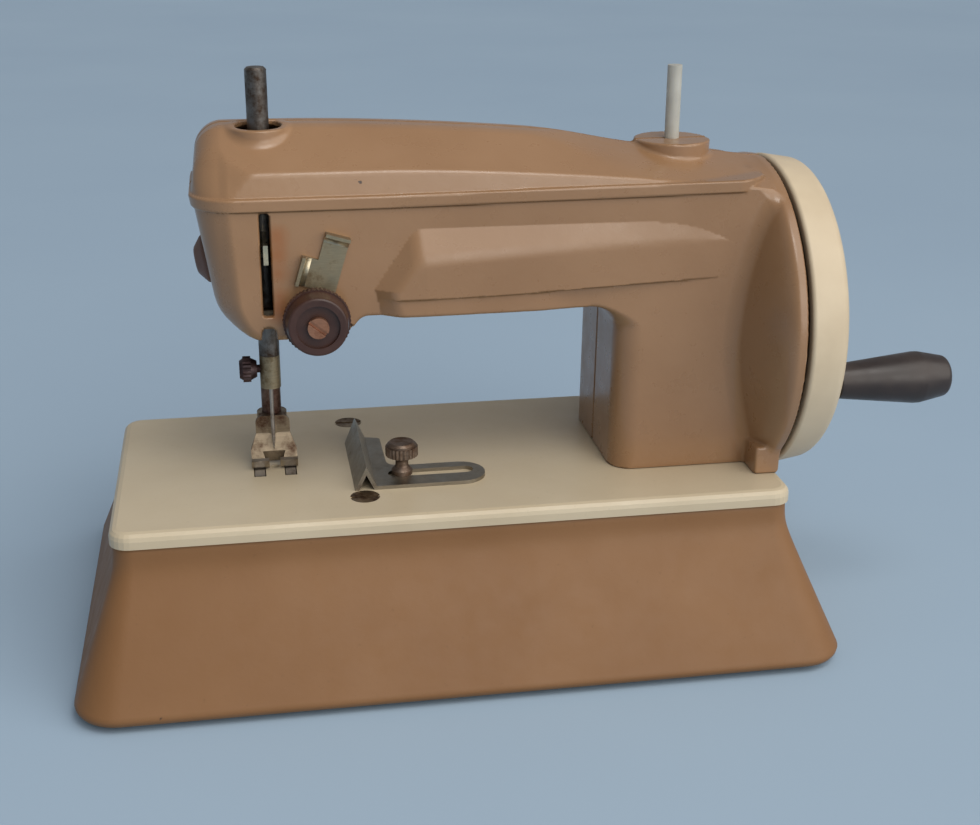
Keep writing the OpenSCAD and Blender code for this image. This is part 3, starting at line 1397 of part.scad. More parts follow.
// Thread tension
module tension_stud() {
    y_end = tension_knob_y - tension_knob_t + tension_head_sink;
    color(aged_brass) difference() {
        union() {
            rod_y(tension_stud_r, y_end - tension_head_t / 2, front_y + body_wall + tension_nut_t,
                tension_x, tension_z);
            rod_y(tension_head_r, y_end - tension_head_t, y_end, tension_x, tension_z);
        }
        translate([tension_x, y_end - tension_head_t, tension_z]) rotate([0, 40, 0])
            cube([3 * tension_head_r, 2 * screw_slot_h, screw_slot_w], center = true);
    }
}
module tension_nut() {
    color(steel) along_y(front_y + body_wall, front_y + body_wall + tension_nut_t)
        translate([tension_x, tension_z]) difference() {
            circle(r = tension_nut_r, $fn = 6);
            circle(r = tension_stud_r + fit_gap);
        }
}
module tension_discs() {
    color(steel) for (i = [0, 1]) turned_front(tension_x, tension_disc_y - i * tension_disc_t, tension_z)
        polygon([[tension_stud_r + fit_gap, 0], [tension_disc_r - tension_disc_cone, 0], [tension_disc_r,
        tension_disc_cone], [tension_disc_r - tension_disc_cone, tension_disc_t - fit_gap],
        [tension_stud_r + fit_gap, tension_disc_t - fit_gap]]);
}
module tension_spring() {
    color(steel) translate([tension_x, tension_disc_y - 2 * tension_disc_t, tension_z]) rotate([90, 0, 0])
        coil(tension_disc_r * spring_place_share, tension_wire_r, tension_spring_turns, fit_gap,
        tension_spring_l - seat_gap);
}
module tension_knob() {
    r = tension_knob_r;
    t = tension_knob_t;
    hole_r = tension_stud_r + fit_gap;
    sink = t - tension_head_sink - seat_gap;
    color(dark_brown) difference() {
        union() {
            turned_front(tension_x, tension_knob_y, tension_z)
                polygon(rounded([ [0, 0, 0], [r - 2 * knurl_depth, 0, 0], [r - 2 * knurl_depth,
                tension_flange_t, 0], [r - bar_chamfer * 2, t, bar_chamfer], [0, t, 0]]));
            translate([tension_x, tension_knob_y, tension_z]) rotate([90, 0, 0])
                linear_extrude(tension_flange_t) polygon(knurl(r, knurl_teeth(r)));
        }
        turned_front(tension_x, tension_knob_y, tension_z) polygon([[0, -overrun], [hole_r, -overrun],
            [hole_r, sink], [tension_head_r + seat_gap, sink], [tension_head_r + seat_gap,
            t - tension_ring_depth], [tension_ring_r, t - tension_ring_depth], [tension_ring_r,
            t + overrun], [0, t + overrun]]);
    }
}
// The thread guide is a tilted plate under the discs, with a bent lip on top and a tab at its side
module thread_guide() {
    color(steel) difference() {
        translate([tension_x, 0, tension_z]) rotate([0, guide_plate_tilt, 0]) {
            block(-guide_plate_w / 2, guide_plate_w / 2, front_y - tension_plate_t, front_y,
                -tension_disc_r, guide_plate_l);
            block(-guide_plate_w / 2, guide_plate_w / 2, front_y - guide_plate_lip,
                front_y - tension_plate_t / 2, guide_plate_l - tension_plate_t, guide_plate_l);
            block(-guide_plate_w / 2 - guide_tab_w, -guide_plate_w / 2 + overrun,
                front_y - tension_plate_t, front_y, tension_disc_r, tension_disc_r + guide_tab_h);
            block(-guide_plate_w / 2 - guide_tab_w, -guide_plate_w / 2 - guide_tab_w + tension_plate_t,
                front_y - guide_plate_lip, front_y - tension_plate_t / 2, tension_disc_r,
                tension_disc_r + guide_tab_h);
        }
        bore_y(tension_stud_r + fit_gap, front_y - tension_plate_t, front_y, tension_x, tension_z);
    }
}

module spool_pin() {
    color(nylon) {
        rod_z(spool_pin_r, spool_seat_z, spool_seat_z + spool_pin_h, spool_x, head_y);
        rod_z(spool_stem_r, spool_seat_z - spool_stem_l + seat_gap, spool_seat_z, spool_x, head_y);
    }
}

// Seam guide: a bent ridge with a slotted arm, held down by a thumb screw
module ridge_outline() {
    slope = norm([guide_half_w, guide_ridge_h]);
    side = guide_t * slope / guide_ridge_h;
    top = guide_t * slope / guide_half_w;
    polygon([[-guide_half_w, 0], [0, guide_ridge_h], [guide_half_w, 0], [guide_half_w - side, 0],
        [0, guide_ridge_h - top], [-guide_half_w + side, 0]]);
}
module seam_guide() {
    z = bed_z + guide_seat;
    y1 = guide_y0 + guide_arm_w;
    x1 = guide_x + guide_arm_l;
    arm_r = guide_arm_w / 2;
    back_y = guide_y0 + guide_ridge_l;
    x0 = guide_x + guide_half_w - guide_t;
    color(steel) difference() {
        union() {
            intersection() {
                along_y(guide_y0, guide_y0 + guide_ridge_l) translate([guide_x, z]) ridge_outline();
                along_z(z, z + guide_ridge_h) polygon([ [guide_x - guide_half_w, guide_y0],
                    [guide_x + guide_half_w, guide_y0], [guide_x + guide_half_w, back_y - guide_back_cut
                    / 2], [guide_x, back_y], [guide_x - guide_half_w, back_y - guide_back_cut]]);
            }
            along_z(z, z + guide_t) difference() {
                polygon(rounded([ [x0, guide_y0, 0], [x1, guide_y0, arm_r * arm_round_share],
                    [x1, y1, arm_r * arm_round_share], [guide_x + ridge_plate_w, y1, guide_slot_in],
                    [guide_x + ridge_plate_w, back_y - guide_back_cut, ridge_plate_r],
                    [x0, back_y - guide_back_cut / 2, 0]]));
                translate([guide_slot_x0 + guide_slot_w / 2, thumb_y]) circle(r = guide_slot_w / 2);
                translate([guide_slot_x0 + guide_slot_l - guide_slot_w / 2, thumb_y])
                    circle(r = guide_slot_w / 2);
                translate([guide_slot_x0 + guide_slot_w / 2, thumb_y - guide_slot_w / 2])
                    square([guide_slot_l - guide_slot_w, guide_slot_w]);
            }
        }
    }
}
module seam_guide_screw() {
    z0 = bed_z + guide_seat + guide_t + guide_seat;
    z1 = z0 + thumb_h;
    color(aged_brass) {
        rod_z(thumb_stem_r, bed_under_z - thumb_nut_t, z0, thumb_x, thumb_y);
        turned_z(thumb_x, thumb_y) polygon(rounded([[0, z0, 0], [thumb_foot_r, z0, 0], [thumb_foot_r,
            z0 + thumb_foot_t, 0], [thumb_neck_r, z0 + thumb_foot_t * 2, thumb_foot_t], [thumb_neck_r,
            z1 - thumb_head_t - thumb_foot_t, thumb_foot_t], [thumb_r - 2 * knurl_depth,
            z1 - thumb_head_t, 0], [thumb_r - 2 * knurl_depth, z1 - bar_chamfer, 0],
            [thumb_r - 2 * bar_chamfer, z1, 0], [0, z1, 0]]));
        translate([thumb_x, thumb_y]) along_z(z1 - thumb_head_t, z1 - 2 * bar_chamfer)
            polygon(knurl(thumb_r, knurl_teeth(thumb_r)));
    }
}
module seam_guide_nut() {
    color(steel) along_z(bed_under_z - thumb_nut_t, bed_under_z) translate([thumb_x, thumb_y])
        difference() {
        circle(r = thumb_nut_r, $fn = 6);
        circle(r = thumb_stem_r + fit_gap);
    }
}

module placed() {
    translate([frame_x, 0, 0]) children();
}
placed() base_skirt();
placed() bottom_cover();
placed() bottom_screws();
placed() rubber_feet();
placed() bed_plate();
placed() bed_screws();
placed() front_casting();
placed() rear_cover();
placed() cover_screws();
placed() head_screws();
placed() gear_plate();
placed() wheel_axle();
placed() axle_screw();
placed() handwheel();
placed() wheel_gear();
placed() handle_stud();
placed() crank_handle();
placed() arm_bush();
placed() arm_shaft();
placed() arm_pinion();
placed() needle_crank();
placed() idler_shaft();
placed() idler_pinion();
placed() idler_gear();
placed() looper_hanger();
placed() looper_frame();
placed() looper_shaft();
placed() looper_gear();
placed() looper_hook();
placed() feed_cam();
placed() feed_dog();
placed() feed_guide();
placed() needle_bar();
placed() needle_yoke();
placed() take_up_eyelet();
placed() needle_clamp();
placed() needle_clamp_screw();
placed() needle();
placed() upper_bar_guide();
placed() lower_bar_guide();
placed() presser_bar();
placed() presser_collar();
placed() presser_foot();
placed() presser_spring();
placed() presser_lifter();
placed() tension_stud();
placed() tension_nut();
placed() tension_discs();
placed() tension_spring();
placed() tension_knob();
placed() thread_guide();
placed() end_plug();
placed() spool_pin();
placed() seam_guide();
placed() seam_guide_screw();
placed() seam_guide_nut();
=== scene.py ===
"""Looks of the toy sewing machine: smooth castings, turned wheel and grip, worn enamel and dull metal."""
import math

import bpy
import numpy as np
from mathutils import Matrix, Vector


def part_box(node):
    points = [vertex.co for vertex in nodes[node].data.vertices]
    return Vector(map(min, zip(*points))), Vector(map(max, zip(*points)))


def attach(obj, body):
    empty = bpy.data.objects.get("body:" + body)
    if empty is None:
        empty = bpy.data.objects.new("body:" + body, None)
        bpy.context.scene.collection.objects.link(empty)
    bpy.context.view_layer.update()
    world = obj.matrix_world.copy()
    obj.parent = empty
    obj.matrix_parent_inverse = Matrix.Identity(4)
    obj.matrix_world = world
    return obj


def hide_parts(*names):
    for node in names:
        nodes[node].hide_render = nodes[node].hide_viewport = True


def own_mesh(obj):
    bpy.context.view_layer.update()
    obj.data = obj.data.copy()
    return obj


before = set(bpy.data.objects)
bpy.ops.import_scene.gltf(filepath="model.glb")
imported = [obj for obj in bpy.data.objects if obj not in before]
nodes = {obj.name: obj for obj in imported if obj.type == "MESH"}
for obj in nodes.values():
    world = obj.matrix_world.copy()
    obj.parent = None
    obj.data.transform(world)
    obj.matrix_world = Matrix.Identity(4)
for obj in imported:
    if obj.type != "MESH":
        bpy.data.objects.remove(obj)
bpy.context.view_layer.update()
MM = 0.001

# The castings are drawn about the middle of the base, as in the part's source
skirt_low, skirt_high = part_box("base_skirt")
MID_X = (skirt_low[0] + skirt_high[0]) / 2 / MM


def box_mm(node):
    """A node's lowest and highest corners, in millimetres about the middle of the base."""
    low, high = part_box(node)
    shift = np.array([MID_X, 0.0, 0.0])
    return np.array(low) / MM - shift, np.array(high) / MM - shift


# Places taken from the frame, in millimetres
FLOOR_GAP = skirt_low[2] / MM
BASE_L = (skirt_high[0] - skirt_low[0]) / MM
BASE_D = (skirt_high[1] - skirt_low[1]) / MM
BED_LOW, BED_HIGH = box_mm("bed_plate")
BED_Z = BED_HIGH[2]
WHEEL_LOW, WHEEL_HIGH = box_mm("handwheel")
HEAD_Y = (WHEEL_LOW[1] + WHEEL_HIGH[1]) / 2
WHEEL_Z = (WHEEL_LOW[2] + WHEEL_HIGH[2]) / 2
WHEEL_R = (WHEEL_HIGH[2] - WHEEL_LOW[2]) / 2
WHEEL_X1 = WHEEL_HIGH[0]
HEAD_LOW, HEAD_HIGH = box_mm("front_casting")
COLLAR_X = HEAD_HIGH[0]
CREST_Z = HEAD_HIGH[2]
BAR_LOW, BAR_HIGH = box_mm("needle_bar")
NEEDLE_X = (BAR_LOW[0] + BAR_HIGH[0]) / 2
NEEDLE_Y = (BAR_LOW[1] + BAR_HIGH[1]) / 2
SPOOL_LOW, SPOOL_HIGH = box_mm("spool_pin")
SPOOL_X = (SPOOL_LOW[0] + SPOOL_HIGH[0]) / 2

# Sizes of the head, in millimetres
HALF = 27.5  # half its depth
WALL = 2.6
SEAM = 0.4
LIP_PROUD = 0.9
LIP_H = 4.0
LIP_R = 0.6
LIP_CORNER_R = 13
LIP_BLEND_R = 0.3
NOSE_X = HEAD_LOW[0] + LIP_PROUD
NOSE_LEAN = 7.0
NOSE_BACK = 4.4
NOSE_R = 15
ARM_Z = BED_Z + 56.0
ARM_LOW = ARM_Z + 0.5
HEAD_Z = ARM_Z - 6.2
LIP_Z0 = ARM_Z + 34.6
LIP_Z1 = LIP_Z0 + LIP_H
LIP_END_X = COLLAR_X - 6
LIP_SINK = 2.4
LIP_SINK_RUN = (COLLAR_X - 17, COLLAR_X - 6)
LIP_RISE = 1.2
PILLAR_X = NEEDLE_X + 110.0
PILLAR_LEAN = 0.6
THROAT_R = 9

# The step from the needle head's underside up to the arm's
STEP_X0 = NOSE_X + 43.7
STEP_X1 = NOSE_X + 49.6
STEP_RISE = 0.5
STEP_R0, STEP_R1 = 5, 4.5

# How far the side view runs past the bed, the crest and the collar, where other forms cut it off
PROFILE_SUNK = 6
PROFILE_OVER = 12
PROFILE_BACK = 3

# Edge radii, and the runs over which they change
EDGE_R = 3.5
EDGE_R_ARM_LESS = 2
EDGE_R_PILLAR_MORE = 6.5
EDGE_R_NOSE_MORE = 9.5
ROOF_EDGE_R = 0.8
ROOF_EDGE_R_NOSE_MORE = 7
NOSE_RUN = (-NOSE_X - 19, -NOSE_X - 8)  # along -X
ARM_RUN = (NOSE_X + 42, NOSE_X + 52)
PILLAR_RUN_X = (PILLAR_X - 20, PILLAR_X - 5)
PILLAR_RUN_Z = (-ARM_LOW - 1, -ARM_LOW + 8)  # along -Z

# Roof: a crowned strip along the ridge, and a slope on each side down to the crease
ROOF_DRAFT = 0.25
ROOF_DRAFT_EARLY = 1
ROOF_DRAFT_RUN = 9
RIDGE_DOWN = 0.3
RIDGE_FALL = 7.2
RIDGE_X0, RIDGE_RUN = NEEDLE_X + 6, 111
CREASE_UP = 6.8
CREASE_FALL = 6
CREASE_X0, CREASE_RUN = NEEDLE_X + 36, 105
STRIP_HALF = 6.4
STRIP_CROWN = 0.25
SLOPE_W = 19.3
STRIP_R = 0.9
STRIP_R_PILLAR_MORE = 9
STRIP_SOFT_RUN = (PILLAR_X - 28, PILLAR_X + 12)

# Collar behind the wheel, and the pillar's flare into it
COLLAR_R = 53.0
COLLAR_EDGE_R = 3.5
COLLAR_RIM = 3.5
COLLAR_TAPER, COLLAR_TAPER_RUN = 7, 9
COLLAR_BLEND_R = 4
COLLAR_END_R = 0.5
FLARE_X = COLLAR_X - 17.4
FLARE_EARLY = 5.0
FLARE_RUN = 20.2
FLARE_R0 = HALF - 10

# Seat under the spool pin, boss around the needle bar, and block at the pillar's foot
SEAT_Z = WHEEL_Z + COLLAR_R + 6.5
SEAT_R = 12.3
SEAT_HALF_H = 6
SEAT_BLEND_R = 1.6
BOSS_R = 9
BOSS_DOWN = 4.6
BOSS_HALF_H = 4
BOSS_BLEND_R = 1.8
SEAT_EDGE_R = 0.6
BLOCK_HALF_D = 38
BLOCK_HALF_L = 4.3
BLOCK_H = 9.5
BLOCK_EDGE_R = 0.8
BLOCK_BLEND_R = 1.2

# Streamlined panel on the arm's front
PANEL_PROUD = 4.6
PANEL_BAND_BACK = 0.9
PANEL_TOP, PANEL_TOP_FALL = BED_Z + 83.7, 8
PANEL_FACE_TOP, PANEL_LEDGE = BED_Z + 74.8, BED_Z + 62.7
PANEL_RISE = 2.2
PANEL_TOP_LEAST = 0.6
PANEL_LEFT_X, PANEL_LEFT_Z = NEEDLE_X + 32.5, BED_Z + 65.4
PANEL_EDGE_DX, PANEL_EDGE_DZ, PANEL_EDGE_LEN = 10.7, 15.8, 19.08
PANEL_LOW_LEAN = 0.25
PANEL_LEFT_W = 5.5
PANEL_SOFT, PANEL_SOFT_TOP = 0.3, 0.35
PANEL_BAND_RUN = (PILLAR_X - 28, PILLAR_X - 10)
PANEL_END_RUN = (COLLAR_X - 23, COLLAR_X - 15)
PANEL_LEDGE_DOWN, PANEL_LEDGE_UP = 0.4, 0.3
PANEL_X0 = NEEDLE_X + 25
PANEL_END_BACK = 14
PANEL_H = 87
PANEL_DEEP = 15
PANEL_PILLAR_EARLY = 9.5
PANEL_ARM_UP = 2
PANEL_EASE = 0.8  # makes up for the field's slope on the panel's edges
PANEL_EDGE_R = 1.0

# Openings in the castings
BAR_HOLE_R = 6.8
BAR_HOLE_EDGE_R = 0.4
OPENING_HALF_L, OPENING_HALF_D = 6.5, 10.8
OPENING_BACK = 5
OPENING_H = 7
FACE_CUT_Y = -10
SLOT_HALF_W, SLOT_HALF_H = 1.5, 16
SLOT_DOWN = 0.5
SLOT_R = 0.8
NOTCH_R = 2.2
NOTCH_UP = 2.8
COVER_SCREWS = [(NEEDLE_X + 46.2, ARM_Z + 9), (NEEDLE_X + 94.6, LIP_Z0 - 6), (PILLAR_X + 12, BED_Z + 30.8)]
COVER_SCREW_HOLE_R = 3.1

# Net of the castings' surface
VOXEL = 0.7
CUT_MARGIN = 1.05
END_MARGIN = 1.4
SIDE_MARGIN = 2
NOSE_MARGIN = 3
RELAX_ROUNDS = 15
RELAX_SHARE = 0.6
SETTLE_EVERY = 3
SETTLE_REACH = 0.5 * VOXEL
LAST_SETTLES = 2
LAST_REACH = 0.4 * VOXEL
SLOPE_STEP = 0.05
LEAST_SLOPE = 0.2
FAR = 1e9
TINY = 1e-9


# Mesh helpers
def to_row(points):
    """Points in millimetres about the middle of the base, as metres in the row frame."""
    out = np.asarray(points, dtype=float) * MM
    out[:, 0] += MID_X * MM
    return out


def add_mesh(name, points, faces, smooth=True):
    """A piece from points in metres and faces of any number of corners."""
    mesh = bpy.data.meshes.new(name)
    mesh.from_pydata([tuple(p) for p in points], [], [tuple(f) for f in faces])
    mesh.validate()
    mesh.update()
    mesh.polygons.foreach_set("use_smooth", [smooth] * len(mesh.polygons))
    piece = bpy.data.objects.new(name, mesh)
    bpy.context.scene.collection.objects.link(piece)
    return piece


def add_big_mesh(name, points, quads):
    """The same for a large array of quads."""
    mesh = bpy.data.meshes.new(name)
    mesh.vertices.add(len(points))
    mesh.vertices.foreach_set("co", np.ascontiguousarray(points, dtype=np.float32).ravel())
    mesh.loops.add(4 * len(quads))
    mesh.loops.foreach_set("vertex_index", np.ascontiguousarray(quads, dtype=np.int32).ravel())
    mesh.polygons.add(len(quads))
    mesh.polygons.foreach_set("loop_start", np.arange(0, 4 * len(quads), 4, dtype=np.int32))
    mesh.update(calc_edges=True)
    mesh.validate()
    mesh.polygons.foreach_set("use_smooth", np.ones(len(mesh.polygons), dtype=bool))
    piece = bpy.data.objects.new(name, mesh)
    bpy.context.scene.collection.objects.link(piece)
    return piece


def rounded(corners, steps=8):
    """An outline whose corners [u, v, radius] are replaced by arcs."""
    out = []
    count = len(corners)
    for i, (u, v, radius) in enumerate(corners):
        b = np.array([u, v], dtype=float)
        if radius <= 0:
            out.append(b)
            continue
        a = np.array(corners[i - 1][:2], dtype=float) - b
        c = np.array(corners[(i + 1) % count][:2], dtype=float) - b
        a /= np.linalg.norm(a)
        c /= np.linalg.norm(c)
        half = math.acos(float(np.clip(a @ c, -1, 1))) / 2
        centre = b + (a + c) / np.linalg.norm(a + c) * radius / math.sin(half)
        p0 = b + a * radius / math.tan(half) - centre
        p1 = b + c * radius / math.tan(half) - centre
        a0 = math.atan2(p0[1], p0[0])
        turn = (math.atan2(p1[1], p1[0]) - a0 + math.pi) % (2 * math.pi) - math.pi
        for k in range(steps + 1):
            angle = a0 + turn * k / steps
            out.append(centre + radius * np.array([math.cos(angle), math.sin(angle)]))
    return np.array(out)


def lathe_x(name, profile, y, z, segments):
    """A closed profile of [radius, x] turned about the line along X through y, z."""
    radius, x = np.asarray(profile, dtype=float).T
    count = len(x)
    points = []
    for k in range(segments):
        angle = 2 * math.pi * k / segments
        points.append(np.stack([x, y + radius * math.cos(angle), z + radius * math.sin(angle)], 1))
    faces = []
    for k in range(segments):
        n = (k + 1) % segments
        for i in range(count):
            j = (i + 1) % count
            faces.append((k * count + i, n * count + i, n * count + j, k * count + j))
    return add_mesh(name, to_row(np.concatenate(points)), faces)


def outline_box(l, d, r, steps=10):
    """A rectangle about the middle, with round corners."""
    return rounded([(-l / 2, -d / 2, r), (l / 2, -d / 2, r), (l / 2, d / 2, r), (-l / 2, d / 2, r)], steps)


def loft_ring(name, loops):
    """A closed tube through loops that all have the same number of points, the last joined to the first."""
    count = len(loops[0])
    faces = []
    for k in range(len(loops)):
        n = (k + 1) % len(loops)
        for i in range(count):
            j = (i + 1) % count
            faces.append((k * count + i, k * count + j, n * count + j, n * count + i))
    return add_mesh(name, to_row(np.concatenate(loops)), faces)


# Signed distances: negative inside
def step01(v, low, high):
    """A soft step from 0 at low to 1 at high."""
    s = np.clip((v - low) / (high - low), 0, 1)
    return s * s * (3 - 2 * s)


def along(x, start, run, power=1.0, most=1.0):
    """How far x has come along a run, in shares of it, raised to a power."""
    return np.clip((x - start) / run, 0, most) ** power


def round_and(a, b, r):
    """What two forms share, with the edge between them rounded."""
    return np.minimum(np.maximum(a, b), -r) + np.hypot(np.maximum(a + r, 0), np.maximum(b + r, 0))


def round_or(a, b, r):
    """Two forms joined, with a fillet between them."""
    return np.maximum(np.minimum(a, b), r) - np.hypot(np.maximum(r - a, 0), np.maximum(r - b, 0))


def polygon_distance(outline, u, v):
    """How far each place lies outside a closed outline."""
    u, v = np.broadcast_arrays(u, v)
    best = np.full(u.shape, FAR)
    inside = np.zeros(u.shape, dtype=bool)
    for a, b in zip(outline, np.roll(outline, -1, axis=0)):
        e = b - a
        wu, wv = u - a[0], v - a[1]
        s = np.clip((wu * e[0] + wv * e[1]) / (e @ e), 0, 1)
        best = np.minimum(best, (wu - e[0] * s) ** 2 + (wv - e[1] * s) ** 2)
        if abs(e[1]) > TINY:
            cross = ((a[1] > v) != (b[1] > v)) & (u < a[0] + e[0] * (v - a[1]) / e[1])
            inside ^= cross
    return np.where(inside, -1, 1) * np.sqrt(best)


def surface_net(values, origin, h):
    """Vertices and quads of the zero surface of a grid of signed distances."""
    inside = values < 0
    cells = tuple(n - 1 for n in values.shape)
    corner_sum = np.zeros(cells, dtype=np.int8)
    for dx in (0, 1):
        for dy in (0, 1):
            for dz in (0, 1):
                corner_sum += inside[dx:dx + cells[0], dy:dy + cells[1], dz:dz + cells[2]]
    active = np.argwhere((corner_sum > 0) & (corner_sum < 8))
    index = np.full(cells, -1, dtype=np.int64)
    index[tuple(active.T)] = np.arange(len(active))
    total = np.zeros((len(active), 3))
    hits = np.zeros(len(active))
    for axis in range(3):
        others = [a for a in range(3) if a != axis]
        for p in (0, 1):
            for q in (0, 1):
                start = np.zeros(3, dtype=int)
                start[others[0]], start[others[1]] = p, q
                end = start.copy()
                end[axis] = 1
                va = values[tuple((active + start).T)]
                vb = values[tuple((active + end).T)]
                cross = (va < 0) != (vb < 0)
                s = va[cross] / (va[cross] - vb[cross])
                spot = np.broadcast_to(start.astype(float), (len(active), 3))[cross].copy()
                spot[:, axis] = s
                total[cross] += spot
                hits[cross] += 1
    points = origin + (active + total / hits[:, None]) * h
    quads = []
    for axis in range(3):
        b, c = (axis + 1) % 3, (axis + 2) % 3
        low = [slice(None)] * 3
        high = [slice(None)] * 3
        low[axis], high[axis] = slice(0, -1), slice(1, None)
        change = inside[tuple(low)] != inside[tuple(high)]
        edges = np.argwhere(change)
        keep = np.ones(len(edges), dtype=bool)
        for a in (b, c):
            keep &= (edges[:, a] > 0) & (edges[:, a] < values.shape[a] - 1)
        edges = edges[keep]
        unit_b, unit_c = np.eye(3, dtype=int)[b], np.eye(3, dtype=int)[c]
        ring = [edges - unit_b - unit_c, edges - unit_c, edges, edges - unit_b]
        quad = np.stack([index[tuple(r.T)] for r in ring], 1)
        flip = ~inside[tuple(edges.T)]
        quad[flip] = quad[flip][:, ::-1]
        quads.append(quad)
    return points, np.concatenate(quads)


# The head, as one field that both castings are cut from
PROFILE = rounded([
    (NOSE_X + NOSE_LEAN, HEAD_Z, NOSE_R), (STEP_X0, HEAD_Z, STEP_R0), (STEP_X1, ARM_LOW + STEP_RISE, STEP_R1),
    (PILLAR_X, ARM_LOW, THROAT_R), (PILLAR_X - PILLAR_LEAN, BED_Z - PROFILE_SUNK, 0),
    (COLLAR_X - PROFILE_BACK, BED_Z - PROFILE_SUNK, 0), (COLLAR_X - PROFILE_BACK, CREST_Z + PROFILE_OVER, 0),
    (NOSE_X + NOSE_BACK, CREST_Z + PROFILE_OVER, 0), (NOSE_X, LIP_Z1, 0)])


def smooth_low(a, b, k):
    """The lower of two values, with a soft change over."""
    h = np.clip(0.5 + 0.5 * (b - a) / k, 0, 1)
    return a * h + b * (1 - h) - k * h * (1 - h)


def roof_ridge(x):
    return CREST_Z - RIDGE_DOWN - RIDGE_FALL * along(x, RIDGE_X0, RIDGE_RUN, 1.7, most=1.5)


def roof_crease(x):
    return LIP_Z1 + CREASE_UP - CREASE_FALL * along(x, CREASE_X0, CREASE_RUN, 1.6, most=1.12)


def lip_rise(x):
    return LIP_RISE * along(x, CREASE_X0, CREASE_RUN, most=1.1)


def panel_height(x, z):
    """How far the streamlined panel stands out of the arm's front."""
    top = PANEL_TOP - PANEL_TOP_FALL * along(x, PILLAR_X + 4.2, 33, 2.3)
    face_top = PANEL_FACE_TOP + PANEL_RISE * along(x, NEEDLE_X + 44, 60)
    ledge = PANEL_LEDGE + PANEL_RISE * along(x, NEEDLE_X + 61, 82, 1.5)
    proud = PANEL_PROUD * (1 - along(x, NEEDLE_X + 48, 99))
    upper = np.clip((top - z) / np.maximum(top - face_top, PANEL_TOP_LEAST), 0, None)
    high_left = ((x - PANEL_LEFT_X) * PANEL_EDGE_DZ - (z - PANEL_LEFT_Z) * PANEL_EDGE_DX) / PANEL_EDGE_LEN
    low_left = x - PANEL_LEFT_X - PANEL_LOW_LEAN * np.clip(PANEL_LEFT_Z - z, 0, None)
    left = np.clip(np.where(z > PANEL_LEFT_Z, high_left, low_left) / PANEL_LEFT_W, 0, None)
    face = proud * np.clip(smooth_low(smooth_low(upper, left, PANEL_SOFT_TOP), 1.0, PANEL_SOFT), 0, 1)
    band = np.clip(proud - PANEL_BAND_BACK, 0, None) * np.clip(smooth_low(left, 1.0, PANEL_SOFT), 0, 1)
    band = band * (1 - step01(x, *PANEL_BAND_RUN))
    share = step01(z, ledge - PANEL_LEDGE_DOWN, ledge + PANEL_LEDGE_UP)
    return (face * share + band * (1 - share)) * (1 - step01(x, *PANEL_END_RUN))


def panel_field(x, z, t):
    """The panel as a form, cut off at its back, its ends, its top and the throat."""
    panel = np.maximum((-t - HALF - panel_height(x, z)) * PANEL_EASE, t + PANEL_DEEP)
    panel = np.maximum(panel, np.maximum(PANEL_X0 - x, x - COLLAR_X + PANEL_END_BACK))
    throat = np.minimum(x - PILLAR_X + PANEL_PILLAR_EARLY, ARM_LOW + PANEL_ARM_UP - z)
    return np.maximum(panel, np.maximum(z - BED_Z - PANEL_H, throat))


def roof_field(x, z, width):
    ridge, crease = roof_ridge(x), roof_crease(x)
    drop = ridge - crease
    strip = z - ridge - STRIP_CROWN * (1 - np.clip(width / STRIP_HALF, 0, 1) ** 2)
    slope = ((z - ridge) * SLOPE_W + (width - STRIP_HALF) * drop) / np.hypot(SLOPE_W, drop)
    return round_and(strip, slope, STRIP_R + STRIP_R_PILLAR_MORE * step01(x, *STRIP_SOFT_RUN))


def collar_field(x, ring):
    """The pillar's flare into the collar, as a distance across its slope."""
    s = np.clip((x - FLARE_X + FLARE_EARLY) / FLARE_RUN, 0, 1)
    flare = FLARE_R0 + (COLLAR_R - FLARE_R0) * s * s * (3 - 2 * s)
    tilt = (COLLAR_R - FLARE_R0) * 6 * s * (1 - s) / FLARE_RUN
    return np.maximum((ring - flare) / np.sqrt(1 + tilt ** 2), FLARE_X - FLARE_EARLY - x)


def lip_field(x, z, width, profile, lip_top):
    """The lip around the head under the roof, which sinks away towards the collar."""
    proud = LIP_PROUD - LIP_SINK * step01(x, *LIP_SINK_RUN)
    out = round_and(profile, width - HALF, LIP_CORNER_R) - proud + LIP_R
    high = np.abs(z - lip_top + LIP_H / 2) - LIP_H / 2 + LIP_R
    lip = np.hypot(np.maximum(out, 0), np.maximum(high, 0)) + np.minimum(np.maximum(out, high), 0) - LIP_R
    return np.maximum(lip, x - LIP_END_X)


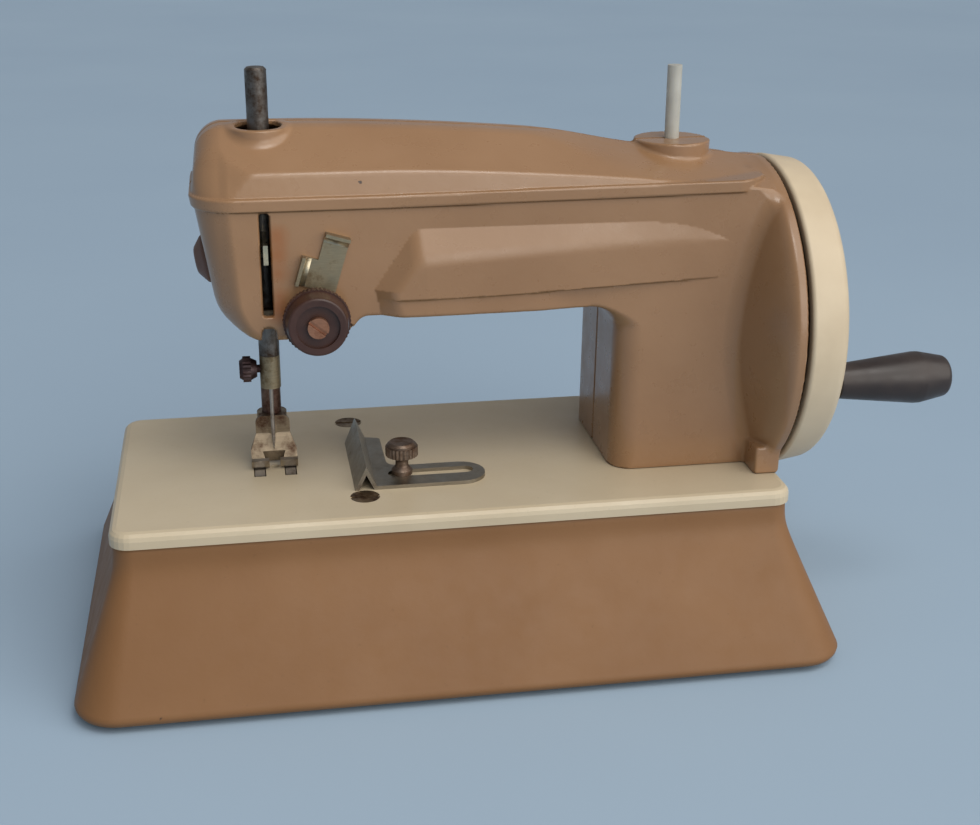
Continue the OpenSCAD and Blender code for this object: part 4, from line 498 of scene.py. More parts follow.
def head_field(x, y, z, front):
    """The whole head as a solid, with the panel where it is the front half."""
    t = y - HEAD_Y
    width = np.abs(t)
    ring = np.hypot(t, z - WHEEL_Z)
    nose = step01(-x, *NOSE_RUN)
    pillar = step01(-z, *PILLAR_RUN_Z) * step01(x, *PILLAR_RUN_X)
    lip_top = LIP_Z1 + lip_rise(x)
    profile = polygon_distance(PROFILE, x, z)
    side = width - HALF + ROOF_DRAFT * np.clip(z - lip_top + ROOF_DRAFT_EARLY, 0, ROOF_DRAFT_RUN)
    edge_r = EDGE_R - EDGE_R_ARM_LESS * step01(x, *ARM_RUN) + EDGE_R_PILLAR_MORE * pillar + EDGE_R_NOSE_MORE * nose
    field = round_and(profile, side, edge_r)
    field = round_and(field, roof_field(x, z, width), ROOF_EDGE_R + ROOF_EDGE_R_NOSE_MORE * nose)
    taper = COLLAR_TAPER * np.clip((COLLAR_X - COLLAR_RIM - x) / COLLAR_TAPER_RUN, 0, 3)
    field = round_and(field, ring - COLLAR_R - taper, COLLAR_EDGE_R)
    field = round_or(field, collar_field(x, ring), COLLAR_BLEND_R)
    field = round_or(field, lip_field(x, z, width, profile, lip_top), LIP_BLEND_R)
    seat_high = np.abs(z - SEAT_Z + SEAT_HALF_H) - SEAT_HALF_H
    seat = round_and(np.hypot(x - SPOOL_X, t) - SEAT_R, seat_high, SEAT_EDGE_R)
    field = round_or(field, seat, SEAT_BLEND_R)
    boss_high = np.abs(z - CREST_Z + BOSS_DOWN) - BOSS_HALF_H
    boss = round_and(np.hypot(x - NEEDLE_X, y - NEEDLE_Y) - BOSS_R, boss_high, SEAT_EDGE_R)
    field = round_or(field, boss, BOSS_BLEND_R)
    if front:
        field = np.minimum(field, round_and(panel_field(x, z, t), profile, PANEL_EDGE_R))
    block = round_and(width - BLOCK_HALF_D, np.abs(x - COLLAR_X + BLOCK_HALF_L) - BLOCK_HALF_L, BLOCK_EDGE_R)
    block = round_and(block, z - BED_Z - BLOCK_H, BLOCK_EDGE_R)
    return round_or(field, block, BLOCK_BLEND_R)


def shell_field(x, y, z, front):
    """One half of the head as a hollow casting, with its openings."""
    field = head_field(x, y, z, front)
    shell = np.maximum(field, -(field + WALL))
    shell = np.maximum(shell, BED_Z - z)
    shell = round_and(shell, x - COLLAR_X, COLLAR_END_R)
    bar_hole = np.maximum(np.hypot(x - NEEDLE_X, y - NEEDLE_Y) - BAR_HOLE_R, LIP_Z1 - z)
    shell = round_and(shell, -bar_hole, BAR_HOLE_EDGE_R)
    opening_y = np.abs(y - NEEDLE_Y - OPENING_BACK) - OPENING_HALF_D
    opening = np.maximum(np.abs(x - NEEDLE_X) - OPENING_HALF_L, opening_y)
    shell = np.maximum(shell, -np.maximum(opening, z - HEAD_Z - OPENING_H))
    if front:
        slot_z = np.abs(z - (LIP_Z0 - SLOT_DOWN - SLOT_HALF_H)) - SLOT_HALF_H
        slot = round_and(np.abs(x - NEEDLE_X) - SLOT_HALF_W, slot_z, SLOT_R)
        shell = np.maximum(shell, -np.maximum(slot, y - FACE_CUT_Y))
        above = np.clip(z - (HEAD_Z + NOTCH_UP), 0, None)
        notch = np.hypot(x - NEEDLE_X, above) - NOTCH_R
        shell = np.maximum(shell, -np.maximum(notch, y - FACE_CUT_Y))
        return np.maximum(shell, y - HEAD_Y + SEAM / 2)
    for screw_x, screw_z in COVER_SCREWS:
        screw_hole = np.hypot(x - screw_x, z - screw_z) - COVER_SCREW_HOLE_R
        shell = np.maximum(shell, -np.maximum(screw_hole, HEAD_Y + HALF / 2 - y))
    return np.maximum(shell, HEAD_Y + SEAM - y)


def surface_slope(points, front):
    """How far each point lies off the shell's surface, and which way the surface faces there."""
    value = shell_field(*points.T, front)
    slope = np.zeros_like(points)
    for axis in range(3):
        ahead = points.copy()
        ahead[:, axis] += SLOPE_STEP
        slope[:, axis] = (shell_field(*ahead.T, front) - value) / SLOPE_STEP
    size = np.maximum(np.linalg.norm(slope, axis=1), LEAST_SLOPE)
    return value / size, slope / size[:, None]


def settle(points, front, reach):
    """Move the points onto the surface, each by no more than reach, and say which way it faced there."""
    value, normals = surface_slope(points, front)
    points -= normals * np.clip(value, -reach, reach)[:, None]
    return normals


def casting(name, front):
    """The skin of one half: a net over its field, evened out and shaded by the field's true slope."""
    low_y = HEAD_Y - COLLAR_R - SIDE_MARGIN if front else HEAD_Y - CUT_MARGIN
    high_y = HEAD_Y + END_MARGIN if front else HEAD_Y + COLLAR_R + SIDE_MARGIN
    low = np.array([NOSE_X - NOSE_MARGIN, low_y, BED_Z - CUT_MARGIN])
    high = np.array([COLLAR_X + END_MARGIN, high_y, CREST_Z + SIDE_MARGIN])
    count = np.ceil((high - low) / VOXEL).astype(int) + 1
    x = (low[0] + VOXEL * np.arange(count[0])).reshape(-1, 1, 1)
    y = (low[1] + VOXEL * np.arange(count[1])).reshape(1, -1, 1)
    z = (low[2] + VOXEL * np.arange(count[2])).reshape(1, 1, -1)
    points, quads = surface_net(shell_field(x, y, z, front), low, VOXEL)
    links = np.concatenate([quads[:, [k, (k + 1) % 4]] for k in range(4)])
    links = np.concatenate([links, links[:, ::-1]])
    here, there = links.T
    degree = np.bincount(here, minlength=len(points))
    for turn in range(RELAX_ROUNDS):
        mean = np.stack([np.bincount(here, points[there, k], len(points)) / degree for k in range(3)], 1)
        points += RELAX_SHARE * (mean - points)
        if (turn + 1) % SETTLE_EVERY == 0:
            settle(points, front, SETTLE_REACH)
    for _ in range(LAST_SETTLES):
        normals = settle(points, front, LAST_REACH)
    piece = add_big_mesh(name, to_row(points), quads)
    piece.data.normals_split_custom_set_from_vertices([tuple(n) for n in normals])
    return piece


front = casting("front_casting_skin", True)
rear = casting("rear_cover_skin", False)


# Materials
SPOT_CORE = 0.75  # how much of a spot's colour its middle shows
SPOT_REACH = 1.9
SPOT_RAGGED = 2
SPECK_SHADE = 0.72
LINE_SHADE = 0.8
CHIP_EDGE = 0.012
COAT_ROUGH = 0.18


def material(name):
    """A new material, its node tree and its shader."""
    mat = bpy.data.materials.new(name)
    mat.use_nodes = True
    tree = mat.node_tree
    return mat, tree, tree.nodes["Principled BSDF"]


def new(tree, kind, **values):
    node = tree.nodes.new(kind)
    for key, value in values.items():
        if key in node.inputs:
            node.inputs[key].default_value = value
        else:
            setattr(node, key, value)
    return node


def piece_coords(tree):
    return new(tree, "ShaderNodeTexCoord").outputs["Object"]


def noise(tree, coords, scale, detail=4.0, rough=0.55):
    node = new(tree, "ShaderNodeTexNoise", Scale=scale, Detail=detail, Roughness=rough)
    tree.links.new(coords, node.inputs["Vector"])
    return node.outputs["Fac"]


def ramp(tree, value, stops):
    """A value turned into colour by stops, each a place and a colour."""
    node = new(tree, "ShaderNodeValToRGB")
    elements = node.color_ramp.elements
    while len(elements) < len(stops):
        elements.new(0.5)
    for element, (place, colour) in zip(elements, stops):
        element.position = place
        element.color = (*colour, 1.0)
    tree.links.new(value, node.inputs["Fac"])
    return node.outputs["Color"]


def grey(v):
    return (v, v, v)


def fade(tree, value, low, high, first=0.0, last=1.0):
    """A grey that goes from first to last as the value goes from low to high."""
    return ramp(tree, value, [(low, grey(first)), (high, grey(last))])


def mix(tree, factor, a, b):
    node = new(tree, "ShaderNodeMix", data_type="RGBA")
    tree.links.new(factor, node.inputs["Factor"])
    for socket, value in ((node.inputs[6], a), (node.inputs[7], b)):
        if isinstance(value, tuple):
            socket.default_value = (*value, 1.0)
        else:
            tree.links.new(value, socket)
    return node.outputs[2]


def bump(tree, height, strength, distance):
    node = new(tree, "ShaderNodeBump", Strength=strength, Distance=distance)
    tree.links.new(height, node.inputs["Height"])
    return node.outputs["Normal"]


def srgb(r, g, b):
    """A colour read as 0 to 255, as linear light."""
    out = []
    for c in (r, g, b):
        c /= 255
        out.append(c / 12.92 if c <= 0.04045 else ((c + 0.055) / 1.055) ** 2.4)
    return tuple(out)


def add_spots(tree, coords, tone, uneven, spots):
    """Patches of another colour with ragged edges, each a place in millimetres, a radius and a colour."""
    for place, radius, colour in spots:
        away = new(tree, "ShaderNodeVectorMath", operation="DISTANCE")
        tree.links.new(coords, away.inputs[0])
        away.inputs[1].default_value = tuple(to_row(np.array([place]))[0])
        patchy = new(tree, "ShaderNodeMath", operation="MULTIPLY_ADD")
        tree.links.new(uneven, patchy.inputs[0])
        patchy.inputs[1].default_value = SPOT_RAGGED * radius * MM
        tree.links.new(away.outputs["Value"], patchy.inputs[2])
        mask = fade(tree, patchy.outputs["Value"], radius * MM, SPOT_REACH * radius * MM, SPOT_CORE, 0)
        tone = mix(tree, mask, tone, colour)
    return tone


def enamel(name, dark, light, chip, chip_at, rough, coat=0.0, shine=0.5, stains=()):
    """Worn enamel: a slow change of tone, fine specks, sparse chips and an uneven gloss."""
    mat, tree, shader = material(name)
    coords = piece_coords(tree)
    slow = noise(tree, coords, scale=22, detail=3, rough=0.5)
    specks = noise(tree, coords, scale=650, detail=2, rough=0.5)
    chips = noise(tree, coords, scale=75, detail=5, rough=0.62)
    gloss = noise(tree, coords, scale=130, detail=4, rough=0.6)
    orange_peel = noise(tree, coords, scale=420, detail=2, rough=0.5)
    tone = mix(tree, fade(tree, slow, 0.35, 0.7), dark, light)
    tone = mix(tree, fade(tree, specks, 0.68, 0.8, last=0.35), tone, tuple(c * SPECK_SHADE for c in dark))
    tone = mix(tree, fade(tree, chips, chip_at, chip_at + CHIP_EDGE), tone, chip)
    tone = add_spots(tree, coords, tone, chips, stains)
    tree.links.new(tone, shader.inputs["Base Color"])
    tree.links.new(fade(tree, gloss, 0.3, 0.75, rough - 0.06, rough + 0.1), shader.inputs["Roughness"])
    tree.links.new(bump(tree, orange_peel, strength=0.12, distance=0.0004), shader.inputs["Normal"])
    shader.inputs["Specular IOR Level"].default_value = shine
    shader.inputs["Coat Weight"].default_value = coat
    shader.inputs["Coat Roughness"].default_value = COAT_ROUGH
    return mat


def metal(name, base, stain, rough, stain_at=0.55, brushed=(30, 30, 400), painted_highlights=()):
    """Dulled metal: fine lines along one way, brown stain in patches, and painted highlight spots where given."""
    mat, tree, shader = material(name)
    coords = piece_coords(tree)
    stretch = new(tree, "ShaderNodeMapping", Scale=brushed)
    tree.links.new(coords, stretch.inputs["Vector"])
    lines = noise(tree, stretch.outputs["Vector"], scale=9, detail=3, rough=0.6)
    patches = noise(tree, coords, scale=160, detail=6, rough=0.68)
    tone = mix(tree, fade(tree, lines, 0.3, 0.7), tuple(c * LINE_SHADE for c in base), base)
    tone = mix(tree, fade(tree, patches, stain_at - 0.08, stain_at + 0.12), tone, stain)
    # Painted highlight spots, where given, laid over the stains
    tone = add_spots(tree, coords, tone, patches, painted_highlights)
    tree.links.new(tone, shader.inputs["Base Color"])
    tree.links.new(fade(tree, patches, 0.35, 0.75, rough, min(1, rough + 0.3)), shader.inputs["Roughness"])
    tree.links.new(bump(tree, lines, strength=0.15, distance=0.0002), shader.inputs["Normal"])
    shader.inputs["Metallic"].default_value = 1.0
    return mat


def moulded(name, dark, light, rough):
    """Moulded plastic with slight mottling and fine scuffs."""
    mat, tree, shader = material(name)
    coords = piece_coords(tree)
    slow = noise(tree, coords, scale=60, detail=4, rough=0.6)
    scuffs = noise(tree, coords, scale=240, detail=5, rough=0.65)
    tree.links.new(mix(tree, fade(tree, slow, 0.35, 0.7), dark, light), shader.inputs["Base Color"])
    tree.links.new(fade(tree, scuffs, 0.35, 0.72, rough - 0.05, rough + 0.18), shader.inputs["Roughness"])
    tree.links.new(bump(tree, scuffs, strength=0.08, distance=0.0003), shader.inputs["Normal"])
    return mat


# Places of the larger stains and chips, of the painted highlights on the presser foot's toes, and their radii in
# millimetres
SLOT_RUST = [(NEEDLE_X + 3.4, HEAD_Y - HALF, LIP_Z0 - drop) for drop in (7, 13, 19, 26, 31)]
SLOT_RUST_R = 3.2
PILLAR_CHIP = (PILLAR_X + 5, HEAD_Y - HALF + 2, ARM_Z - 6)
PILLAR_CHIP_R = 1.6
COLLAR_CHIP = (COLLAR_X - 9, HEAD_Y - 12, WHEEL_Z + COLLAR_R - 3)
COLLAR_CHIP_R = 1.2
FOOT_LOW, FOOT_HIGH = box_mm("presser_foot")
TOE_IN = 3.4
# Painted highlights where light glints on the presser foot's two rolled toes
TOE_HIGHLIGHTS = [(x, FOOT_LOW[1] + 1.5, FOOT_LOW[2] + 2.5) for x in (FOOT_LOW[0] + TOE_IN, FOOT_HIGH[0] - TOE_IN)]
TOE_HIGHLIGHT_R = 3.0

tan_stains = [(place, SLOT_RUST_R, srgb(146, 82, 28)) for place in SLOT_RUST]
tan_stains += [(PILLAR_CHIP, PILLAR_CHIP_R, srgb(58, 42, 34)), (COLLAR_CHIP, COLLAR_CHIP_R, srgb(66, 48, 38))]
tan = enamel("tan_enamel", srgb(142, 107, 75), srgb(151, 116, 84), srgb(60, 42, 32), 0.735, 0.3, coat=0.25,
             stains=tan_stains)
tan_base = enamel("tan_base", srgb(124, 88, 55), srgb(131, 95, 62), srgb(70, 50, 38), 0.75, 0.5, shine=0.3)
cream = enamel("cream_enamel", srgb(190, 175, 148), srgb(198, 184, 158), srgb(120, 104, 80), 0.76, 0.38)
cream_wheel = moulded("cream_moulding", srgb(196, 178, 150), srgb(204, 187, 159), 0.4)
dark = moulded("dark_moulding", srgb(44, 36, 34), srgb(58, 48, 44), 0.34)
steel = metal("dull_steel", (0.42, 0.39, 0.36), srgb(104, 86, 70), 0.36, 0.58)
bar_steel = metal("bar_steel", (0.2, 0.185, 0.17), srgb(70, 56, 46), 0.38, 0.52, (400, 400, 20))
guide_steel = metal("guide_steel", (0.33, 0.295, 0.24), srgb(112, 98, 80), 0.34, 0.72)
olive_steel = metal("olive_steel", (0.34, 0.285, 0.19), srgb(104, 84, 58), 0.38, 0.62)
# The presser foot's steel, with a painted highlight on each toe
foot_steel = metal("foot_steel", (0.3, 0.24, 0.17), srgb(88, 64, 50), 0.34, 0.56,
                   painted_highlights=[(toe, TOE_HIGHLIGHT_R, (0.72, 0.68, 0.6)) for toe in TOE_HIGHLIGHTS])
bar_brown = metal("bar_brown", (0.2, 0.135, 0.11), srgb(78, 54, 46), 0.4, 0.5, (400, 400, 20))
screw_brown = metal("screw_brown", (0.25, 0.19, 0.15), srgb(96, 74, 58), 0.42, 0.55)
clamp_brown = metal("clamp_brown", (0.12, 0.085, 0.085), srgb(58, 42, 42), 0.45, 0.5)
copper = metal("dull_copper", (0.4, 0.2, 0.125), srgb(96, 58, 42), 0.4, 0.6)
# Pale, bright metal as a painted highlight: on the thread guide's curled edges and on the glinting take-up eyelet
painted_glint_metal = metal("painted_glint_metal", (0.62, 0.54, 0.38), srgb(120, 100, 70), 0.25, 0.7)
bright = metal("bright_steel", (0.66, 0.64, 0.61), srgb(120, 104, 88), 0.22, 0.68)
brass = metal("aged_brass", (0.3, 0.22, 0.14), srgb(74, 54, 40), 0.42, 0.5)
brown = moulded("brown_moulding", srgb(54, 31, 23), srgb(70, 42, 33), 0.36)
plug_brown = moulded("plug_brown", srgb(96, 66, 54), srgb(108, 78, 64), 0.42)
rubber = moulded("black_rubber", srgb(26, 25, 24), srgb(36, 34, 33), 0.7)
nylon, nylon_tree, nylon_shader = material("nylon")
nylon_slow = noise(nylon_tree, piece_coords(nylon_tree), scale=120)
nylon_tone = ramp(nylon_tree, nylon_slow, [(0.3, srgb(196, 194, 184)), (0.7, srgb(214, 212, 202))])
nylon_tree.links.new(nylon_tone, nylon_shader.inputs["Base Color"])
nylon_shader.inputs["Roughness"].default_value = 0.42
nylon_shader.inputs["Transmission Weight"].default_value = 0.35
nylon_shader.inputs["Subsurface Weight"].default_value = 0.3
nylon_shader.inputs["Subsurface Radius"].default_value = (0.004, 0.004, 0.003)


SOFT_SEGMENTS = 2
SOFT_ANGLE = 35


def dress(piece, mat):
    piece.data.materials.clear()
    piece.data.materials.append(mat)


def soften(piece, width):
    """Round the piece's sharp edges by a width in millimetres."""
    bevel = piece.modifiers.new("soft_edges", "BEVEL")
    bevel.width = width * MM
    bevel.segments = SOFT_SEGMENTS
    bevel.limit_method = "ANGLE"
    bevel.angle_limit = math.radians(SOFT_ANGLE)
    bevel.harden_normals = False


for piece, node in ((front, "front_casting"), (rear, "rear_cover")):
    dress(piece, tan)
    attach(piece, "machine")
    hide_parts(node)

# Base skirt: a hollow flared ring
SKIRT_IN = 1.8
SKIRT_TOP = BED_LOW[2]
SKIRT_TOP_L, SKIRT_TOP_D = BED_HIGH[0] - BED_LOW[0] - SKIRT_IN, BED_HIGH[1] - BED_LOW[1] - SKIRT_IN
SKIRT_WALL = 2.6
SKIRT_CORNER_R, SKIRT_CORNER_R_MORE, SKIRT_CORNER_R_LEAST = 6.5, 7.5, 1.0
SKIRT_FOOT_R = 3
SKIRT_FOOT_IN, SKIRT_FOOT_UP = 3.6, 1
SKIRT_STRAIGHT = 1
BEND_Z = SKIRT_TOP - 10
FOOT_Z = FLOOR_GAP + SKIRT_FOOT_R
BEND_SHARE = 0.06
BEND_SOFT = 0.012


def skirt_share(z):
    """How much of the flare the skirt has at a level: none at its top, and a straight slope below the bend."""
    line = BEND_SHARE + (1 - BEND_SHARE) * (BEND_Z - z) / (BEND_Z - FOOT_Z)
    return (line + math.sqrt(line * line + BEND_SOFT)) / 2 if z < SKIRT_TOP - SKIRT_STRAIGHT else 0.0


def skirt_loop(share, inset, z):
    flat = outline_box(SKIRT_TOP_L + (BASE_L - SKIRT_TOP_L) * share - 2 * inset,
                       SKIRT_TOP_D + (BASE_D - SKIRT_TOP_D) * share - 2 * inset,
                       max(SKIRT_CORNER_R_LEAST, SKIRT_CORNER_R + SKIRT_CORNER_R_MORE * share - inset))
    return np.column_stack([flat, np.full(len(flat), z)])


# Its loops go down the outside, around the foot and up the inside
skirt_levels = np.concatenate([
    [SKIRT_TOP, SKIRT_TOP - 1.2], np.linspace(SKIRT_TOP - 2.5, BEND_Z - 8, 16),
    np.linspace(BEND_Z - 11, FOOT_Z + 1, 9)])
skirt_shares = [min(1.0, skirt_share(z) / skirt_share(FOOT_Z)) for z in skirt_levels]
skirt_steps = list(zip(skirt_shares, skirt_levels))
loops = [skirt_loop(share, 0, z) for share, z in skirt_steps]
for a in np.radians([0, 22, 45, 68, 90]):
    loops.append(skirt_loop(1.0, SKIRT_FOOT_R * (1 - math.cos(a)), FOOT_Z - SKIRT_FOOT_R * math.sin(a)))
loops.append(skirt_loop(1.0, SKIRT_FOOT_IN, FLOOR_GAP + SKIRT_FOOT_UP))
loops += [skirt_loop(share, SKIRT_WALL, z) for share, z in skirt_steps[::-1][2:]]
skirt = loft_ring("skirt_skin", loops)
dress(skirt, tan_base)
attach(skirt, "machine")
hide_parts("base_skirt")

# Handwheel, turned, with the stud's boss
AXLE_BORE_R = 4.05
HUB_R, HUB_FOOT_R = 8, 11.6
HUB_X0, HUB_X1 = WHEEL_LOW[0], WHEEL_X1 - 3.3
WEB_X0, WEB_X1 = WHEEL_X1 - 6.6, WHEEL_X1 - 3.6
RIM_X0 = COLLAR_X + 1.7
RIM_IN_R = WHEEL_R - 4
FACE_R1, FACE_R0, DISH_R = WHEEL_R - 2.2, WHEEL_R - 11.2, WHEEL_R - 14.8
wheel_profile = rounded([
    (AXLE_BORE_R, HUB_X0, 0), (HUB_R, HUB_X0, 0.5), (HUB_R, WEB_X0, 1), (RIM_IN_R, WEB_X0, 2),
    (RIM_IN_R, RIM_X0, 0.6), (WHEEL_R, RIM_X0, 1.2), (FACE_R1, WHEEL_X1, 4.2), (FACE_R0, WHEEL_X1, 2.5),
    (DISH_R, WEB_X1, 2.5), (HUB_FOOT_R, WEB_X1, 1.5), (HUB_R, HUB_X1, 0.5), (AXLE_BORE_R, HUB_X1, 0)], 7)
wheel = lathe_x("handwheel_skin", wheel_profile, HEAD_Y, WHEEL_Z, 180)
dress(wheel, cream_wheel)
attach(wheel, "wheel")
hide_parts("handwheel")
GRIP_LOW, GRIP_HIGH = box_mm("crank_handle")
GRIP_Y, GRIP_Z = (GRIP_LOW[1:] + GRIP_HIGH[1:]) / 2
STUD_BORE_R = 3.05
STUD_BOSS_R = 6.5
boss_profile = rounded([
    (STUD_BORE_R, WEB_X0, 0), (STUD_BOSS_R, WEB_X0, 0), (STUD_BOSS_R, WHEEL_X1, 0.8), (STUD_BORE_R, WHEEL_X1, 0)], 5)
boss = lathe_x("handle_boss", boss_profile, GRIP_Y, GRIP_Z, 64)
dress(boss, cream_wheel)
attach(boss, "wheel")

# Crank grip, turned
GRIP_X0, GRIP_X1 = GRIP_LOW[0], GRIP_HIGH[0]
GRIP_R = (GRIP_HIGH[2] - GRIP_LOW[2]) / 2
GRIP_FULL_X = GRIP_X0 + 0.72 * (GRIP_X1 - GRIP_X0)
GRIP_OVER = 0.15
GRIP_NECK_R, GRIP_END_R = 5.6, 6.4
HEAD_SEAT_R, HEAD_SEAT_X = 4.5, GRIP_X1 - 3.3
grip_profile = rounded([
    (STUD_BORE_R, GRIP_X0, 0), (GRIP_NECK_R, GRIP_X0, 0.7), (GRIP_R + GRIP_OVER, GRIP_FULL_X, 9),
    (GRIP_END_R, GRIP_X1, 2.4), (HEAD_SEAT_R, GRIP_X1, 0.4), (HEAD_SEAT_R, HEAD_SEAT_X, 0),
    (STUD_BORE_R, HEAD_SEAT_X, 0)], 8)
grip_profile[:, 0] = np.minimum(grip_profile[:, 0], GRIP_R)
grip = lathe_x("grip_skin", grip_profile, GRIP_Y, GRIP_Z, 96)
dress(grip, dark)
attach(grip, "grip")
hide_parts("crank_handle")


# Presser spring: a coil of round wire
def coil_mesh(name, middle, coil_r, wire_r, turns, z0, z1, steps=24, sides=10):
    """A round wire wound about the line along Z through middle, between the levels z0 and z1."""
    count = int(turns * steps) + 1
    angle = np.linspace(0, 2 * math.pi * turns, count)
    height = np.linspace(z0 + wire_r, z1 - wire_r, count)
    around = np.linspace(0, 2 * math.pi, sides, endpoint=False)
    radius = coil_r + wire_r * np.cos(around)
    points = np.stack([
        middle[0] + np.outer(np.cos(angle), radius), middle[1] + np.outer(np.sin(angle), radius),
        height[:, None] + wire_r * np.sin(around)[None, :]], 2).reshape(-1, 3)
    faces = [tuple(range(sides))[::-1], tuple(range((count - 1) * sides, count * sides))]
    for k in range(count - 1):
        for i in range(sides):
            j = (i + 1) % sides
            faces.append((k * sides + i, k * sides + j, (k + 1) * sides + j, (k + 1) * sides + i))
    return add_mesh(name, to_row(points), faces)


SPRING_LOW, SPRING_HIGH = box_mm("presser_spring")
SPRING_WIRE_R, SPRING_TURNS = 0.5, 7
SPRING_R = (SPRING_HIGH[1] - SPRING_LOW[1]) / 2 - SPRING_WIRE_R
spring_x, spring_y = (SPRING_LOW[:2] + SPRING_HIGH[:2]) / 2
spring = coil_mesh("presser_spring_coil", (spring_x, spring_y), SPRING_R, SPRING_WIRE_R, SPRING_TURNS,
                   SPRING_LOW[2], SPRING_HIGH[2])
dress(spring, steel)
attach(spring, "machine")
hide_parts("presser_spring")
spring_top = tuple(to_row(np.array([[spring_x, spring_y, SPRING_HIGH[2]]]))[0])
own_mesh(spring)

# Thread guide: the curls in the roots of its two bent edges, painted brighter than the guide as a highlight
GUIDE_LOW, GUIDE_HIGH = box_mm("thread_guide")
GUIDE_CURL_R = 2.4
CURL_GAP = 0.05
CURL_STEPS = 8
GUIDE_TOP_EDGE = (
    (GUIDE_HIGH[0] - 7.65, GUIDE_HIGH[2] - 1.0), (GUIDE_HIGH[0] - 0.25, GUIDE_HIGH[2] - 3.2))
GUIDE_EAR_EDGE = (
    (GUIDE_LOW[0] + 3.65, GUIDE_HIGH[2] - 7.3), (GUIDE_LOW[0] + 1.05, GUIDE_HIGH[2] - 15.9))


def curl(name, edge, side):
    """A hollow quarter round between the guide's face and a bent edge, given as its two ends in [x, z]."""
    start, end = np.array(edge)
    run = end - start
    inward = side * np.array([-run[1], run[0]]) / np.linalg.norm(run)
    tip_y = GUIDE_LOW[1]
    ring = [(0.0, tip_y + GUIDE_CURL_R + 2 * CURL_GAP)]
    for a in np.linspace(0, math.pi / 2, CURL_STEPS):
        ring.append((GUIDE_CURL_R * (1 - math.cos(a)), tip_y + CURL_GAP + GUIDE_CURL_R * math.sin(a)))
    count = len(ring)
    points = [(p[0] + inward[0] * u, y, p[1] + inward[1] * u) for p in (start, end) for u, y in ring]
    faces = [tuple(range(count)), tuple(range(2 * count - 1, count - 1, -1))]
    faces += [(i, count + i, count + (i + 1) % count, (i + 1) % count) for i in range(count)]
    piece = add_mesh(name, to_row(np.array(points)), faces)
    # Brighter than the guide's own steel: a painted highlight on the bent edge
    dress(piece, painted_glint_metal)
    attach(piece, "machine")


curl("guide_top_curl", GUIDE_TOP_EDGE, -1)
curl("guide_ear_curl", GUIDE_EAR_EDGE, 1)

# The other pieces keep their CAD shape: material, edge rounding in millimetres, nodes
LOOKS = [
    (steel, 0.3, ["bottom_cover"]),
    (steel, 0.2, ["bottom_screws", "cover_screws", "head_screws", "gear_plate", "wheel_axle", "axle_screw",
                  "arm_shaft", "needle_crank", "idler_shaft", "looper_hanger", "looper_frame", "looper_shaft",
                  "feed_guide", "needle_yoke", "presser_collar", "presser_lifter"]),
    (steel, 0.1, ["feed_cam", "tension_nut", "seam_guide_nut"]),
    (steel, 0.05, ["feed_dog"]),
    (steel, 0.0, ["needle", "tension_spring"]),
    (bright, 0.2, ["handle_stud"]),
    (bright, 0.1, ["looper_hook", "tension_discs"]),
    (brass, 0.3, ["upper_bar_guide", "lower_bar_guide"]),
    (brass, 0.2, ["bed_screws", "arm_bush"]),
    (brass, 0.0, ["wheel_gear", "arm_pinion", "idler_pinion", "idler_gear", "looper_gear"]),
    (cream, 0.25, ["bed_plate"]),
    (rubber, 0.5, ["rubber_feet"]),
    (bar_steel, 0.2, ["needle_bar"]),
    # The eyelet's bright colour is a painted glint
    (painted_glint_metal, 0.2, ["take_up_eyelet"]),
    (olive_steel, 0.2, ["needle_clamp"]),
    (olive_steel, 0.15, ["thread_guide"]),
    (clamp_brown, 0.1, ["needle_clamp_screw"]),
    (bar_brown, 0.2, ["presser_bar"]),
    (foot_steel, 0.15, ["presser_foot"]),
    (copper, 0.15, ["tension_stud"]),
    (brown, 0.15, ["tension_knob"]),
    (plug_brown, 0.8, ["end_plug"]),
    (nylon, 0.3, ["spool_pin"]),
    (guide_steel, 0.15, ["seam_guide"]),
    (screw_brown, 0.1, ["seam_guide_screw"])]
for mat, width, names in LOOKS:
    for name in names:
        dress(nodes[name], mat)
        if width:
            soften(nodes[name], width)

# Floor, light and camera
FLOOR_HALF = 20
floor_mat, floor_tree, floor_shader = material("floor")
floor_slow = noise(floor_tree, piece_coords(floor_tree), scale=3)
floor_tone = ramp(floor_tree, floor_slow, [(0.3, srgb(158, 179, 199)), (0.7, srgb(162, 183, 202))])
floor_tree.links.new(floor_tone, floor_shader.inputs["Base Color"])
floor_shader.inputs["Roughness"].default_value = 0.9
floor_shader.inputs["Specular IOR Level"].default_value = 0.1
floor_corners = [(FLOOR_HALF * u, FLOOR_HALF * v, 0) for u, v in ((-1, -1), (1, -1), (1, 1), (-1, 1))]
floor = add_mesh("floor", floor_corners, [(0, 1, 2, 3)], smooth=False)
floor.data.materials.append(floor_mat)

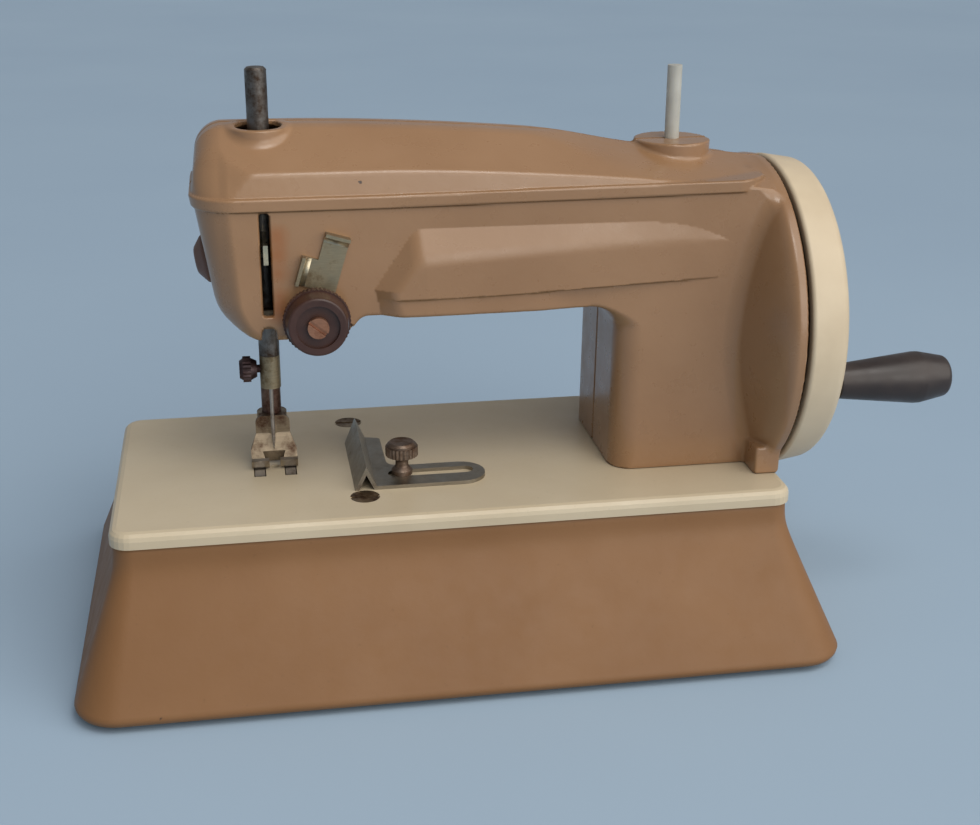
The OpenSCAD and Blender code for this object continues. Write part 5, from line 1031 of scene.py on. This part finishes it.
world = bpy.data.worlds.new("studio")
bpy.context.scene.world = world
world.use_nodes = True
background = world.node_tree.nodes["Background"]
background.inputs["Color"].default_value = (*srgb(222, 228, 236), 1)
background.inputs["Strength"].default_value = 0.36


def add_light(name, kind, place, aim, power, colour, **values):
    """A light at a place in metres, turned towards another."""
    data = bpy.data.lights.new(name, kind)
    data.energy = power
    data.color = colour
    for key, value in values.items():
        setattr(data, key, value)
    lamp = bpy.data.objects.new(name, data)
    bpy.context.scene.collection.objects.link(lamp)
    lamp.location = place
    lamp.rotation_euler = (Vector(aim) - Vector(place)).to_track_quat("-Z", "Y").to_euler()


AIM = (0.0, 0.0, 0.1)
add_light("key", "SUN", (0.85, -0.9, 1.0), AIM, 2.4, (1.0, 0.955, 0.89), angle=math.radians(80))
add_light("fill", "AREA", (0.35, -1.2, 0.42), (0.0, 0.0, 0.07), 1.6, (1.0, 0.96, 0.9), size=0.7)
add_light("sheen", "AREA", (0.1, -0.45, 0.95), AIM, 1.8, (1.0, 0.97, 0.93), size=0.35)

# The camera's lens, angles in radians and place in millimetres
IMAGE_W = 980
FOCAL_PX = 1455.58
SENSOR_W = 36
YAW, PITCH, ROLL = 0.17574, 0.36589, 0.006737
CAMERA_AT = (-63.80, -452.94, 241.63)
camera_data = bpy.data.cameras.new("camera")
camera_data.sensor_fit = "HORIZONTAL"
camera_data.sensor_width = SENSOR_W
camera_data.lens = SENSOR_W * FOCAL_PX / IMAGE_W
camera_data.clip_start = 0.01
camera = bpy.data.objects.new("camera", camera_data)
bpy.context.scene.collection.objects.link(camera)
forward = np.array([math.sin(YAW) * math.cos(PITCH), math.cos(YAW) * math.cos(PITCH), -math.sin(PITCH)])
level = np.array([math.cos(YAW), -math.sin(YAW), 0.0])
upright = np.cross(level, forward)
right = math.cos(ROLL) * level + math.sin(ROLL) * upright
up = -math.sin(ROLL) * level + math.cos(ROLL) * upright
place = to_row(np.array([CAMERA_AT]))[0]
camera.matrix_world = Matrix([*np.column_stack([right, up, -forward, place]).tolist(), [0, 0, 0, 1]])
bpy.context.scene.camera = camera
bpy.context.scene.view_settings.view_transform = "Standard"
